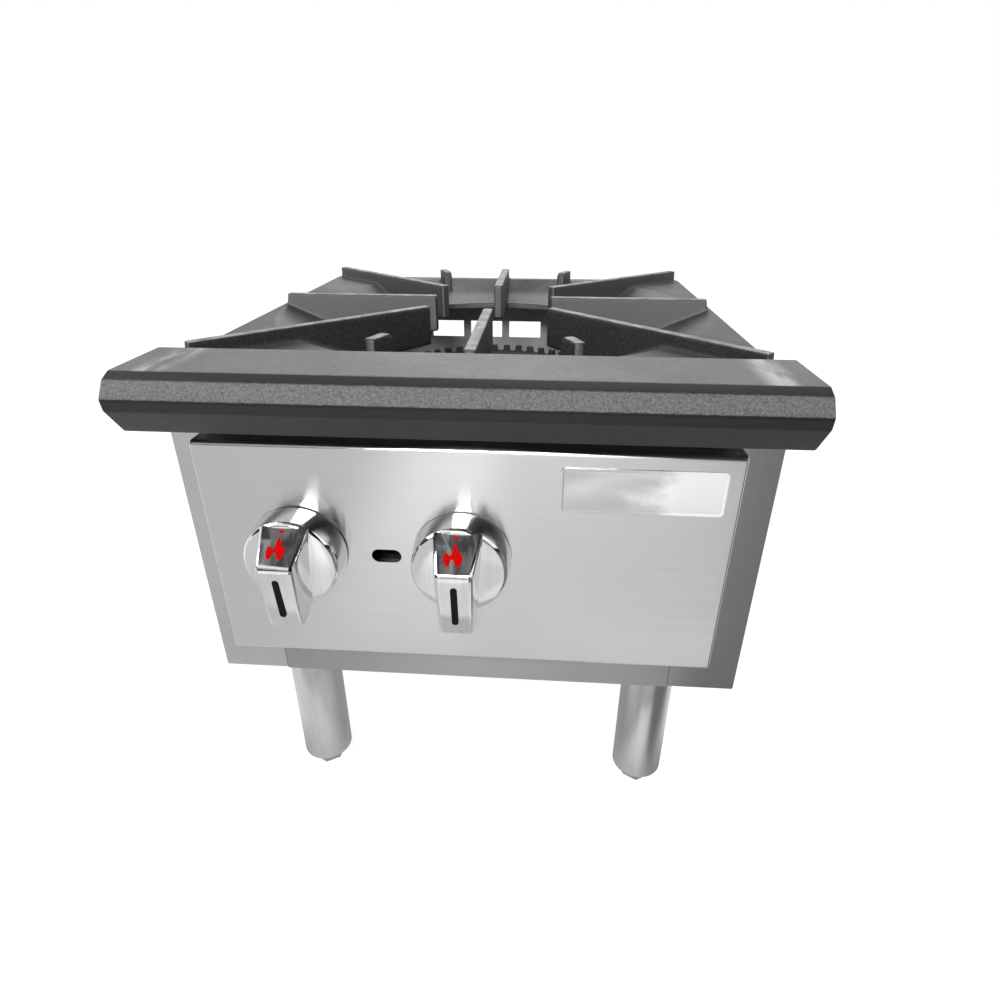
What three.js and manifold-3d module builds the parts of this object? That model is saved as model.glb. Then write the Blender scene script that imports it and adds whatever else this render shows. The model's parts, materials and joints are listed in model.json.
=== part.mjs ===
// A countertop stock pot range: one gas burner with two rings under a cast iron grate, in a folded
// stainless cabinet on four short legs.
//
// Every size is in millimetres. The cabinet's own frame has X to the right, Y to the rear and Z up,
// with X = 0 on the middle plane, Y = 0 on the front corner flanges and Z = 0 on the bottom edge.
// The whole range is then stood on the floor, with the middle of its footprint at the origin.

import * as THREE from 'three';
import { mergeVertices } from 'three/addons/utils/BufferGeometryUtils.js';
import { ConvexGeometry } from 'three/addons/geometries/ConvexGeometry.js';
import Module from 'manifold-3d';

const wasm = await Module();
wasm.setup();

// ---- driving dimensions -------------------------------------------------------------------------

const seat = 0.3;                 // gap left between two faces that touch
const sheet = 1.2;                // thickness of every folded sheet

const cabinetWidth = 457;
const cabinetDepth = 444.5;
const cabinetHeight = 262;
const cornerFlange = 57.5;        // folded in at the front, the rear and the bottom of each side
const topFlange = 20;             // folded in at the top, under the grate
const baseHeight = 25;            // upright strip of the base channels
const baseDepth = 80;

const panelFace = 45;             // how far the control panel stands in front of the cabinet
const panelInset = 39.75;         // from each side of the cabinet
const panelBottom = 61.7;
const panelDrop = 21.5;           // from the cabinet's top edge to the panel's
const panelLip = 20;              // tongue that each panel return is screwed to
const panelScrewInset = 38.75;    // from each end of the panel

const plateWidth = 111;           // blank name plate
const plateHeight = 33;
const plateThickness = 0.8;
const plateInset = 10.85;         // from the panel's right end
const plateDrop = 28;             // its middle below the panel's top
const plateCorner = 3;

const knobRise = 94.8;            // both knob axes, above the panel's lower edge
const knobInset = 67.05;          // left knob, for the outer burner ring, from the panel's left end
const innerKnobX = -1.5;          // right knob, for the inner burner ring
const knobGap = 1.5;              // between the knob and the panel face
const skirtRadius = 36;
const skirtDepth = 20;
const gripReach = 49;             // from the panel face to the knob's highest ridge

const slotShift = 4.3;            // window of the pilot screw, right of the middle between the knobs
const slotDrop = 2.7;             // and below their axes
const slotLength = 22;
const slotWidth = 10.8;

const railInset = 5;              // cast iron landing rail, from each side of the cabinet
const railRise = 30.4;            // its top above the cabinet
const railHeight = 41.4;
const railReach = 72.9;           // how far the nose stands in front of the cabinet
const railWall = 7;
const railLap = 3.6;              // how far its top reaches back over the cabinet

const grateSideInset = 7.5;       // from each side of the cabinet to the grate
const grateFront = 6.5;
const grateRearInset = 6.5;
const grateRim = 18.3;            // height of the rim above the cabinet
const grateWall = 6;
const bowlOffset = 9.75;          // bowl, burner and ribs lie this far behind the cabinet's middle
const bowlRadius = 213;
const bowlShelf = 36;             // from the bowl's edge in to its step
const bowlStepDepth = 15;
const openingShelf = 22;          // from the step in to the opening
const openingDepth = 24;
const ribThickness = 9;
const ribSideInset = 9.3;         // from the grate's edges to the ribs' outer ends
const ribFrontInset = 14;
const ribRearInset = 5;
const ribTipX = 57.5;
const ribTipFront = 57;
const ribTipRear = 62;
const middleTipReach = 65;
const ribTipHeight = 36;
const lugFromStep = 6;            // from the bowl's step out to each lug
const lugFromEdge = 5;            // from the bowl's edge in to it
const lugAngle = 67.5;

const burnerLift = 21.5;          // floor of both burner rings above the mixing tubes' axes
const burnerHeight = 38;
const outerRingRadius = 115;
const outerRingInner = 87;
const outerTeeth = 48;            // one tooth for each facet of the ring
const innerRingRadius = 62;
const innerTeeth = 24;
const crownHeight = 6.5;
const ringWall = 6;
const ringLedge = 2;
const capThickness = 4;
const strapThickness = 3;
const strapWidth = 20;
const strapReach = 77;            // from the burner's middle to each support strap

const mixerRadius = 16;           // mixing tubes
const mixerBore = 13;
const mixerMouth = 34;            // where both mixing tubes start, behind the valves
const mouthRadius = 24;
const mouthLength = 10;
const neckRadius = 21;
const outerNeckX = -95;
const outerNeckBack = 34;         // the outer ring's neck lies this far in front of the middle

const manifoldRadius = 10.7;
const pipeBore = 7.9;
const manifoldDrop = 30;          // below the knob axes
const manifoldY = -10;
const manifoldShort = 3;          // its ends lie this far inside the corner flanges' edges
const supplyInset = 88.5;         // from the cabinet's right side
const inletRadius = 17;
const inletReach = 35.5;          // how far the gas inlet stands behind the cabinet
const inletLength = 34;

const stemRadius = 4;
const stemPlay = 0.4;
const valveRadius = 14;
const hoodRadius = 8.5;
const spigotRadius = 5;
const orificeRadius = 1;

const pilotTubeRadius = 2.4;
const pilotHeadRadius = 5;
const pilotX = -39;
const pilotBack = 62;             // the pilot burner lies this far in front of the middle

const shieldY = 58;               // heat shield between the valves and the burner
const shieldDrop = 26;            // its top below the cabinet's
const shieldReturn = 18;

const runnerWidth = 20;
const trayFrontTop = 58;
const trayWallTop = 50;
const trayShort = 41.8;           // it ends this far in front of the back panel
const trayLip = 14;
const trayPlay = 0.6;

const ventWidth = 42;             // windows in the back panel
const ventHeight = 21;
const ventBar = 10;
const ventDrop = 59;              // from the cabinet's top edge to the windows' lower edges

const legHeight = 152;
const legSideInset = 66.5;
const legInset = 40;
const legRadius = 23.7;
const legWall = 1.5;
const legTubeLength = 136.7;
const legStudRadius = 6;          // threaded stud on top of each leg
const legPad = 76;                // square pad in the base that the stud is screwed into
const legPadThickness = 5;
const legNutRadius = 11;
const legNutHeight = 9;
const footStudLength = 45;
const footTopRadius = 20;
const footBottomRadius = 15;
const studRadius = 5;

// ---- places that follow from the sizes ----------------------------------------------------------

const halfWidth = cabinetWidth / 2;
const insideX = halfWidth - sheet;               // inner face of each side wall
const spanX = insideX - seat;                    // reach of a piece that runs from wall to wall
const openingX = halfWidth - cornerFlange;       // edge of each corner flange
const betweenFlanges = openingX - seat;
const halfPanel = halfWidth - panelInset;
const panelScrewX = halfPanel - panelScrewInset;
const panelTop = cabinetHeight - panelDrop;
const knobHeight = panelBottom + knobRise;       // height of both knob axes
const outerKnobX = knobInset - halfPanel;
const slotCentreX = (outerKnobX + innerKnobX) / 2 + slotShift;
const slotHeight = knobHeight - slotDrop;
const plateCentreX = halfPanel - plateInset - plateWidth / 2;
const plateCentreZ = panelTop - plateDrop;
const halfRail = halfWidth - railInset;
const railTop = cabinetHeight + railRise;
const railBottom = railTop - railHeight;
const halfGrate = halfWidth - grateSideInset;
const grateRear = cabinetDepth - grateRearInset;
const bowlCentreY = cabinetDepth / 2 + bowlOffset;   // middle of the bowl, the burner and the ribs
const ribReachX = halfGrate - ribSideInset;
const ribFrontReach = bowlCentreY - grateFront - ribFrontInset;
const ribRearReach = grateRear - bowlCentreY - ribRearInset;
const burnerFloor = knobHeight + burnerLift;
const burnerTop = burnerFloor + burnerHeight;     // crown of both burner rings
const shieldTop = cabinetHeight - shieldDrop;
const ventBottom = cabinetHeight - ventDrop;
const manifoldReach = openingX - manifoldShort;
const supplyX = halfWidth - supplyInset;
const legX = halfWidth - legSideInset;
const panelY = -panelFace;                       // outer face of the control panel
const bowlStepRadius = bowlRadius - bowlShelf;
const openingRadius = bowlStepRadius - openingShelf;
const lugInner = bowlStepRadius + lugFromStep;
const lugOuter = bowlRadius - lugFromEdge;
const grateSeat = cabinetHeight + seat;
const deckZ = cabinetHeight + grateRim;
const manifoldZ = knobHeight - manifoldDrop;
const backY = cabinetDepth - sheet - seat;       // rear face of the back panel
const rearTop = cabinetDepth - 2 * sheet - seat; // front face of the back panel
const trayLength = rearTop - trayShort;
const runnerZ = baseHeight + seat;
const trayZ = runnerZ + sheet + seat;
const strapTop = burnerFloor - seat;
const lipBottom = panelTop - 2 * sheet - seat;
const lowerLipTop = panelBottom + 2 * sheet + seat;

// ---- solids -------------------------------------------------------------------------------------

// Shared corners become one vertex, and faces that collapse to a line are dropped.
function weld(geometry) {
  const bare = new THREE.BufferGeometry();
  bare.setAttribute('position', geometry.getAttribute('position').clone());
  if (geometry.index) {
    bare.setIndex(geometry.index.clone());
  }
  const merged = mergeVertices(bare, 1e-4);
  const old = merged.index.array;
  const kept = [];
  for (let i = 0; i < old.length; i += 3) {
    const [a, b, c] = [old[i], old[i + 1], old[i + 2]];
    if (a !== b && b !== c && c !== a) {
      kept.push(a, b, c);
    }
  }
  merged.setIndex(kept);
  return merged;
}

function solidOf(geometry) {
  const welded = weld(geometry);
  return new wasm.Manifold(new wasm.Mesh({
    numProp: 3,
    vertProperties: new Float32Array(welded.getAttribute('position').array),
    triVerts: new Uint32Array(welded.index.array),
  }));
}

function geometryOf(solid) {
  const mesh = solid.getMesh();
  const geometry = new THREE.BufferGeometry();
  geometry.setAttribute('position', new THREE.BufferAttribute(mesh.vertProperties, 3));
  geometry.setIndex(new THREE.BufferAttribute(mesh.triVerts, 1));
  return geometry;
}

function join(solids) {
  return solids.reduce((whole, next) => whole.add(next));
}

function cut(body, tools) {
  return tools.reduce((left, tool) => left.subtract(tool), body);
}

// A rectangular block between two limits on each axis.
function block([x0, x1], [y0, y1], [z0, z1]) {
  const geometry = new THREE.BoxGeometry(x1 - x0, y1 - y0, z1 - z0);
  geometry.translate((x0 + x1) / 2, (y0 + y1) / 2, (z0 + z1) / 2);
  return solidOf(geometry);
}

// A block that is the same on both sides of the middle plane.
function wideBlock(halfSpan, yLimits, zLimits) {
  return block([-halfSpan, halfSpan], yLimits, zLimits);
}

// A round bar along one axis; place gives its other two coordinates in X, Y, Z order.
function rod(axis, radius, [from, to], [u, v], sides = 16) {
  const geometry = new THREE.CylinderGeometry(radius, radius, to - from, sides);
  const middle = (from + to) / 2;
  if (axis === 'x') {
    geometry.rotateZ(-Math.PI / 2);
    geometry.translate(middle, u, v);
  } else if (axis === 'y') {
    geometry.translate(u, middle, v);
  } else {
    geometry.rotateX(Math.PI / 2);
    geometry.translate(u, v, middle);
  }
  return solidOf(geometry);
}

function signedArea(points) {
  return points.reduce((sum, [x, y], i) => {
    const [nextX, nextY] = points[(i + 1) % points.length];
    return sum + x * nextY - nextX * y;
  }, 0) / 2;
}

// A turned shape about Z. The outline is a list of [radius, height], closed on itself or on the axis.
function turned(outline, sides) {
  const ordered = signedArea(outline) > 0 ? outline : [...outline].reverse();
  const closed = [...ordered, ordered[0]];
  const points = closed.map(([radius, height]) => new THREE.Vector2(radius, height));
  const geometry = new THREE.LatheGeometry(points, sides);
  geometry.rotateX(Math.PI / 2);
  return geometry;
}

// The same, about an axis along Y, with heights measured towards the rear.
function turnedToRear(outline, sides) {
  const geometry = turned(outline, sides);
  geometry.rotateX(-Math.PI / 2);
  return geometry;
}

function shapeOf(points) {
  return new THREE.Shape(points.map(([x, y]) => new THREE.Vector2(x, y)));
}

// An outline in the Y-Z plane, run along X.
function runAlongX(outline, [x0, x1]) {
  const geometry = new THREE.ExtrudeGeometry(shapeOf(outline), { depth: x1 - x0, bevelEnabled: false });
  const turn = new THREE.Matrix4().makeBasis(
    new THREE.Vector3(0, 1, 0),
    new THREE.Vector3(0, 0, 1),
    new THREE.Vector3(1, 0, 0),
  );
  geometry.applyMatrix4(turn);
  geometry.translate(x0, 0, 0);
  return solidOf(geometry);
}

// An outline in the X-Z plane, run along Y.
function runAlongY(shape, [y0, y1], curveSegments = 6) {
  const geometry = new THREE.ExtrudeGeometry(shape, {
    depth: y1 - y0, bevelEnabled: false, curveSegments,
  });
  geometry.rotateX(Math.PI / 2);
  geometry.translate(0, y1, 0);
  return solidOf(geometry);
}

// A long hole with round ends, lying along X.
function slotShape(centreX, centreZ, length, width) {
  const radius = width / 2;
  const straight = length / 2 - radius;
  const shape = new THREE.Shape();
  shape.absarc(centreX + straight, centreZ, radius, -Math.PI / 2, Math.PI / 2, false);
  shape.absarc(centreX - straight, centreZ, radius, Math.PI / 2, 3 * Math.PI / 2, false);
  return shape;
}

// A round tube or bar along a curve.
function along(curve, radius, bore, sides, steps) {
  const section = new THREE.Shape().absarc(0, 0, radius, 0, 2 * Math.PI, false);
  if (bore > 0) {
    section.holes.push(new THREE.Path().absarc(0, 0, bore, 0, 2 * Math.PI, true));
  }
  return solidOf(new THREE.ExtrudeGeometry(section, {
    extrudePath: curve, steps, curveSegments: sides, bevelEnabled: false,
  }));
}

// A ring of upright teeth, one on each facet of a ring turned with as many sides. They stand a little
// inside the wall's faces.
function teeth(count, inner, outer, [z0, z1]) {
  const inset = 0.2;
  const facet = Math.cos(Math.PI / count);
  const width = Math.PI * (inner + outer) / 2 / count;
  return Array.from({ length: count }, (_, i) => {
    const geometry = new THREE.BoxGeometry(outer * facet - inner - 2 * inset, width, z1 - z0);
    geometry.translate((outer * facet + inner) / 2, 0, (z0 + z1) / 2);
    geometry.rotateZ(2 * Math.PI * (i + 0.5) / count);
    return solidOf(geometry);
  });
}

// ---- finishes -----------------------------------------------------------------------------------

function finish(color, roughness, metalness) {
  return new THREE.MeshStandardMaterial({ color, roughness, metalness, flatShading: true });
}

const finishes = {
  stainless: () => finish('#c9cacb', 0.32, 1),
  sideSteel: () => finish('#b4b5b6', 0.38, 1),
  coatedSteel: () => finish('#8f9194', 0.5, 0.9),
  chrome: () => finish('#d9dadb', 0.12, 1),
  platedLeg: () => finish('#bcbdbf', 0.28, 1),
  grateIron: () => finish('#46474a', 0.72, 0.3),
  railIron: () => finish('#6d6e70', 0.7, 0.3),
  burnerIron: () => finish('#2d2d2f', 0.8, 0.3),
  brass: () => finish('#b08d4a', 0.35, 1),
  blackPipe: () => finish('#35363a', 0.6, 0.7),
  zinc: () => finish('#a9adb2', 0.35, 1),
  aluminium: () => finish('#b7b9bb', 0.4, 1),
  plate: () => finish('#dcdcdc', 0.25, 0.9),
};

function part(group, name, source, material, place = [0, 0, 0]) {
  const geometry = source.isBufferGeometry ? weld(source) : geometryOf(source);
  const mesh = new THREE.Mesh(geometry, material);
  mesh.name = name;
  mesh.position.set(...place);
  group.add(mesh);
  return mesh;
}

// ---- cabinet ------------------------------------------------------------------------------------

const legCentres = [
  ['front_left', -legX, legInset],
  ['front_right', legX, legInset],
  ['rear_left', -legX, cabinetDepth - legInset],
  ['rear_right', legX, cabinetDepth - legInset],
];
const legStudHoles = legCentres
  .map(([, x, y]) => rod('z', legStudRadius + seat, [-1, baseHeight], [x, y], 12));

const railBoltPlaces = [-1, 1].flatMap((side) => [side * (openingX + halfWidth) / 2, side * openingX / 2]);
const railBoltZ = railBottom + 2.5;
const railBoltRadius = 3;
const railBoltReach = 5;          // into the landing rail's rear wall, in blind holes
const railBoltHoles = railBoltPlaces
  .map((x) => rod('y', railBoltRadius + seat, [-railBoltReach - seat, 4 * sheet], [x, railBoltZ], 10));

function sidePanel(side) {
  const wall = [side * insideX, side * halfWidth].sort((a, b) => a - b);
  const corner = [side * openingX, side * halfWidth].sort((a, b) => a - b);
  const top = [side * (halfWidth - topFlange), side * halfWidth].sort((a, b) => a - b);
  const folded = join([
    block(wall, [0, cabinetDepth], [0, cabinetHeight]),
    block(corner, [0, sheet], [0, cabinetHeight]),
    block(corner, [cabinetDepth - sheet, cabinetDepth], [0, cabinetHeight]),
    block(corner, [0, cabinetDepth], [0, sheet]),
    block(top, [0, cabinetDepth], [cabinetHeight - sheet, cabinetHeight]),
  ]);
  return cut(folded, railBoltHoles);
}

// A channel across the bottom. Its strip shows between the corner flanges, and its ends are stepped
// up by one sheet to lie on the side panels' bottom flanges. A pad and a weld nut take each leg.
function baseChannel(outerY, toInside) {
  const span = (from, to) => [outerY + toInside * from, outerY + toInside * to].sort((a, b) => a - b);
  const step = sheet + seat;
  const padY = legInset - legPad / 2;
  const ends = [-1, 1].flatMap((side) => {
    const across = (from, to) => [side * from, side * to].sort((a, b) => a - b);
    return [
      block(across(legX - legPad / 2, betweenFlanges), span(sheet, baseDepth), [0, step + sheet]),
      block(across(legX, spanX), span(step, baseDepth), [step, step + sheet]),
      block(across(legX - legPad / 2, legX + legPad / 2), span(padY, padY + legPad),
        [step, step + legPadThickness]),
      rod('z', legNutRadius, [step, step + legPadThickness + legNutHeight],
        [side * legX, outerY + toInside * legInset], 6),
    ];
  });
  const channel = join([
    wideBlock(betweenFlanges, span(0, sheet), [0, baseHeight]),
    wideBlock(betweenFlanges, span(0, baseDepth), [0, sheet]),
    wideBlock(betweenFlanges, span(baseDepth - sheet, baseDepth), [0, baseHeight]),
    ...ends,
  ]);
  return cut(channel, legStudHoles);
}

const topReturnX = halfWidth - topFlange - seat;
const headerDepth = 24;
const headerHeight = 25;

const panelScrewRadius = 2;
const panelScrewY = -panelLip / 2;
const panelScrewHoles = [-panelScrewX, panelScrewX]
  .map((x) => rod('z', panelScrewRadius + seat, [panelBottom - 1, panelTop + 1], [x, panelScrewY], 8));

function frontHeader() {
  const front = sheet + seat;
  const low = cabinetHeight - headerHeight;
  const body = join([
    wideBlock(spanX, [front, front + sheet], [lipBottom, cabinetHeight - sheet - seat]),
    wideBlock(topReturnX, [front, front + sheet], [low, cabinetHeight]),
    wideBlock(topReturnX, [front, headerDepth], [cabinetHeight - sheet, cabinetHeight]),
    wideBlock(betweenFlanges, [-panelLip, front + sheet], [lipBottom, lipBottom + sheet]),
  ]);
  return cut(body, [...railBoltHoles, ...panelScrewHoles]);
}

function lowerRail() {
  const front = sheet + seat;
  const lowest = lowerLipTop - sheet;
  const body = join([
    wideBlock(spanX, [front, front + sheet], [lowest, lowest + headerHeight]),
    wideBlock(betweenFlanges, [-panelLip, front + sheet], [lowest, lowerLipTop]),
    wideBlock(spanX, [front, headerDepth], [lowest + headerHeight - sheet, lowest + headerHeight]),
  ]);
  return cut(body, panelScrewHoles);
}

const supplyHole = manifoldRadius + 0.5;

function backPanel() {
  const body = join([
    wideBlock(spanX, [rearTop, backY], [trayZ, cabinetHeight - sheet - seat]),
    wideBlock(topReturnX, [rearTop - headerDepth, backY], [cabinetHeight - sheet, cabinetHeight]),
    wideBlock(topReturnX, [rearTop, backY], [trayZ, cabinetHeight]),
  ]);
  const pitch = ventWidth + ventBar;
  const vents = [-1.5, -0.5, 0.5, 1.5].map((step) => block(
    [step * pitch - ventWidth / 2, step * pitch + ventWidth / 2],
    [rearTop - 1, cabinetDepth],
    [ventBottom, ventBottom + ventHeight],
  ));
  const pipeHole = rod('y', supplyHole, [rearTop - 1, cabinetDepth], [supplyX, manifoldZ]);
  return cut(body, [...vents, pipeHole]);
}

function heatShield() {
  const low = lowerLipTop + headerHeight + seat;
  const wall = [shieldY, shieldY + sheet];
  const body = join([
    wideBlock(spanX, wall, [low, shieldTop]),
    ...[-1, 1].map((side) => block([side * (spanX - sheet), side * spanX].sort((a, b) => a - b),
      [shieldY, shieldY + shieldReturn], [low, shieldTop])),
  ]);
  const through = [shieldY - 1, shieldY + sheet + 1];
  return cut(body, [
    rod('y', mixerRadius + 0.6, through, [outerKnobX, knobHeight]),
    rod('y', mixerRadius + 0.6, through, [innerKnobX, knobHeight]),
    rod('y', pilotTubeRadius + 0.5, through, [slotCentreX, slotHeight], 12),
    rod('y', supplyHole, through, [supplyX, manifoldZ]),
  ]);
}

function supportStrap(y) {
  const limits = [y - strapWidth / 2, y + strapWidth / 2];
  return join([
    wideBlock(spanX, limits, [strapTop - strapThickness, strapTop]),
    ...[-1, 1].map((side) => block([side * (spanX - strapThickness), side * spanX].sort((a, b) => a - b),
      limits, [strapTop - 10 * strapThickness, strapTop])),
  ]);
}

function trayRunner(side) {
  const span = (inner, outer) => [side * inner, side * outer].sort((a, b) => a - b);
  const rear = rearTop - seat;
  return join([
    block(span(betweenFlanges - runnerWidth, betweenFlanges), [0, rear], [runnerZ, runnerZ + sheet]),
    block(span(betweenFlanges - sheet, betweenFlanges), [0, rear], [runnerZ, trayWallTop]),
  ]);
}

function dripTray() {
  const frontX = betweenFlanges - sheet - trayPlay;
  const outline = [sheet, trayLength];
  return join([
    wideBlock(frontX, [0, sheet], [trayZ, trayFrontTop]),
    wideBlock(frontX, [-trayLip, sheet], [trayFrontTop - sheet, trayFrontTop]),
    wideBlock(frontX - sheet, [0, trayLength], [trayZ, trayZ + sheet]),
    wideBlock(frontX - sheet, [trayLength - sheet, trayLength], [trayZ, trayWallTop]),
    ...[-1, 1].map((side) => block([side * (frontX - 2 * sheet), side * (frontX - sheet)]
      .sort((a, b) => a - b), outline, [trayZ, trayWallTop])),
  ]);
}

function buildCabinet(group) {
  part(group, 'left_side_panel', sidePanel(-1), finishes.sideSteel());
  part(group, 'right_side_panel', sidePanel(1), finishes.sideSteel());
  part(group, 'front_base_channel', baseChannel(0, 1), finishes.stainless());
  part(group, 'rear_base_channel', baseChannel(cabinetDepth, -1), finishes.coatedSteel());
  part(group, 'front_header', frontHeader(), finishes.coatedSteel());
  part(group, 'lower_cross_rail', lowerRail(), finishes.coatedSteel());
  part(group, 'back_panel', backPanel(), finishes.stainless());
  part(group, 'heat_shield', heatShield(), finishes.coatedSteel());
  part(group, 'tray_runner_left', trayRunner(-1), finishes.coatedSteel());
  part(group, 'tray_runner_right', trayRunner(1), finishes.coatedSteel());
  part(group, 'drip_tray', dripTray(), finishes.stainless());
}

// ---- control panel and knobs --------------------------------------------------------------------

function controlPanel() {
  const rear = -seat;
  const body = join([
    wideBlock(halfPanel, [panelY, panelY + sheet], [panelBottom, panelTop]),
    wideBlock(halfPanel, [panelY, rear], [panelTop - sheet, panelTop]),
    wideBlock(halfPanel, [panelY, rear], [panelBottom, panelBottom + sheet]),
    ...[-1, 1].map((side) => block([side * (halfPanel - sheet), side * halfPanel].sort((a, b) => a - b),
      [panelY, rear], [panelBottom, panelTop])),
  ]);
  const through = [panelY - 1, panelY + sheet + 1];
  return cut(body, [
    rod('y', stemRadius + 2.5, through, [outerKnobX, knobHeight]),
    rod('y', stemRadius + 2.5, through, [innerKnobX, knobHeight]),
    runAlongY(slotShape(slotCentreX, slotHeight, slotLength, slotWidth), through),
    ...panelScrewHoles,
  ]);
}

function roundedRectangle(width, height, radius) {
  const [x, y] = [width / 2 - radius, height / 2 - radius];
  const shape = new THREE.Shape();
  shape.absarc(x, y, radius, 0, Math.PI / 2, false);
  shape.absarc(-x, y, radius, Math.PI / 2, Math.PI, false);
  shape.absarc(-x, -y, radius, Math.PI, 3 * Math.PI / 2, false);
  shape.absarc(x, -y, radius, 3 * Math.PI / 2, 2 * Math.PI, false);
  return shape;
}

// A die-cast knob, drawn about its own axis with Y = 0 on the panel face and Y negative to the front.
function knob() {
  const back = -knobGap;
  const front = -(knobGap + skirtDepth);
  const rim = skirtRadius - 2;
  const wall = 3;
  const hub = 10;
  const skirt = turnedToRear([
    [0, front - 2.5],
    [rim - 9, front - 1.5],
    [rim - 2, front],
    [rim, front + 2],
    [skirtRadius, back],
    [skirtRadius - wall, back],
    [rim - wall, front + wall + 3],
    [hub, front + wall + 3],
    [hub, back],
    [0, back],
  ], 32);
  const grip = new ConvexGeometry([
    [17.5, front + 1, 31],
    [12.5, -gripReach, 13],
    [11.25, 5.5 - gripReach, -36],
    [11.25, 12 - gripReach, -38],
    [13, front + 1, -31],
  ].flatMap(([x, y, z]) => [new THREE.Vector3(-x, y, z), new THREE.Vector3(x, y, z)]));
  const bore = rod('y', stemRadius + seat, [stemTip, 1], [0, 0], 12);
  return solidOf(skirt).add(solidOf(grip)).subtract(bore);
}

const stemTip = -(knobGap + skirtDepth);   // front end of the knob's bore, from the panel face
const stemBack = 34;                       // depth of the stem's inner end behind the panel face

function valveStem() {
  return rod('y', stemRadius, [stemTip + seat, stemBack], [0, 0], 12);
}

// A brass tap, drawn from the panel face on the knob's axis. Its inlet stands on the manifold and its
// spigot carries the orifice hood.
const valveFront = 11;
const valveShoulder = 23;
const valveRear = 50;
const spigotEnd = 64;
const hoodStart = valveRear + 4;
const hoodEnd = panelFace + mixerMouth + 1;

function valveBody() {
  const outer = join([
    rod('y', stemRadius + 5, [valveFront, valveShoulder + 1], [0, 0], 16),
    rod('y', valveRadius, [valveShoulder, valveRear], [0, 0], 16),
    rod('y', spigotRadius, [valveRear - 1, spigotEnd], [0, 0], 12),
    rod('z', 7, [manifoldRadius - 1.5 - manifoldDrop, -valveRadius + 3], [0, panelFace + manifoldY], 12),
  ]);
  return cut(outer, [
    rod('y', stemRadius + stemPlay, [valveFront - 1, stemBack + seat], [0, 0], 12),
    rod('y', 2.5, [valveRear - 5, spigotEnd + 1], [0, 0], 8),
  ]);
}

function orificeHood() {
  return turnedToRear([
    [hoodRadius, hoodStart],
    [hoodRadius, hoodEnd - 8],
    [3.5, hoodEnd],
    [orificeRadius, hoodEnd],
    [orificeRadius, spigotEnd + 4],
    [spigotRadius + seat, spigotEnd + seat],
    [spigotRadius + seat, hoodStart],
  ], 12);
}

const pilotBlock = 7;             // half the pilot valve's width
const pilotBlockY = [-19, -1];
const screwRadius = 3.4;
const screwHead = 7;

function pilotValve() {
  const body = join([
    block([slotCentreX - pilotBlock, slotCentreX + pilotBlock], pilotBlockY,
      [slotHeight - pilotBlock, slotHeight + pilotBlock]),
    rod('z', 4, [manifoldZ + manifoldRadius - 1.5, slotHeight - pilotBlock + 1],
      [slotCentreX, manifoldY], 10),
    rod('y', 5.5, [pilotBlockY[1] - 1, pilotBlockY[1] + 9], [slotCentreX, slotHeight], 6),
  ]);
  return cut(body, [
    rod('y', screwRadius - 1 + stemPlay, [pilotBlockY[0] - 1, pilotBlockY[0] + 10],
      [slotCentreX, slotHeight], 12),
    rod('y', pilotTubeRadius + seat, [pilotBlockY[1] + 2, pilotBlockY[1] + 10],
      [slotCentreX, slotHeight], 10),
  ]);
}

// The slotted screw that sets the pilot flame, reached with a screwdriver through the panel's window.
function pilotScrew() {
  const head = [pilotBlockY[0] - seat - screwHead, pilotBlockY[0] - seat];
  const body = join([
    rod('y', screwRadius + 0.6, head, [0, 0], 12),
    rod('y', screwRadius - 1, [head[1] - 1, pilotBlockY[0] + 9], [0, 0], 12),
  ]);
  return cut(body, [block([-5, 5], [head[0] - 1, head[0] + 2], [-0.6, 0.6])]);
}

// A pan-head screw under a panel return (direction 1, from below) or over one (-1, from above).
function panelScrew(direction) {
  const span = (from, to) => [direction * from, direction * to].sort((a, b) => a - b);
  return join([
    rod('z', 2 * panelScrewRadius, span(-2, 0), [0, 0], 10),
    rod('z', panelScrewRadius, span(-1, 8), [0, 0], 8),
  ]);
}

function buildControls(group) {
  part(group, 'control_panel', controlPanel(), finishes.stainless());
  for (const [side, x] of [['left', -panelScrewX], ['right', panelScrewX]]) {
    const above = [x, panelScrewY, panelTop + seat];
    const below = [x, panelScrewY, panelBottom - seat];
    part(group, `panel_screw_top_${side}`, panelScrew(-1), finishes.zinc(), above);
    part(group, `panel_screw_bottom_${side}`, panelScrew(1), finishes.zinc(), below);
  }
  const plate = new THREE.ExtrudeGeometry(roundedRectangle(plateWidth, plateHeight, plateCorner), {
    depth: plateThickness, bevelEnabled: false, curveSegments: 4,
  });
  plate.rotateX(Math.PI / 2);
  part(group, 'name_plate', plate, finishes.plate(), [plateCentreX, panelY - seat, plateCentreZ]);
  for (const [side, ring, x] of [['left', 'outer', outerKnobX], ['right', 'inner', innerKnobX]]) {
    const axis = [x, panelY, knobHeight];
    part(group, `knob_${side}`, knob(), finishes.chrome(), axis);
    part(group, `${ring}_valve_stem`, valveStem(), finishes.brass(), axis);
    part(group, `${ring}_valve_body`, valveBody(), finishes.brass(), axis);
    part(group, `${ring}_orifice_hood`, orificeHood(), finishes.brass(), axis);
  }
  part(group, 'pilot_valve', pilotValve(), finishes.brass());
  part(group, 'pilot_adjust_screw', pilotScrew(), finishes.zinc(), [slotCentreX, 0, slotHeight]);
}

// ---- gas line -----------------------------------------------------------------------------------

const socketEnd = 24;             // rear end of the manifold's supply socket
const socketDepth = 12;

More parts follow.
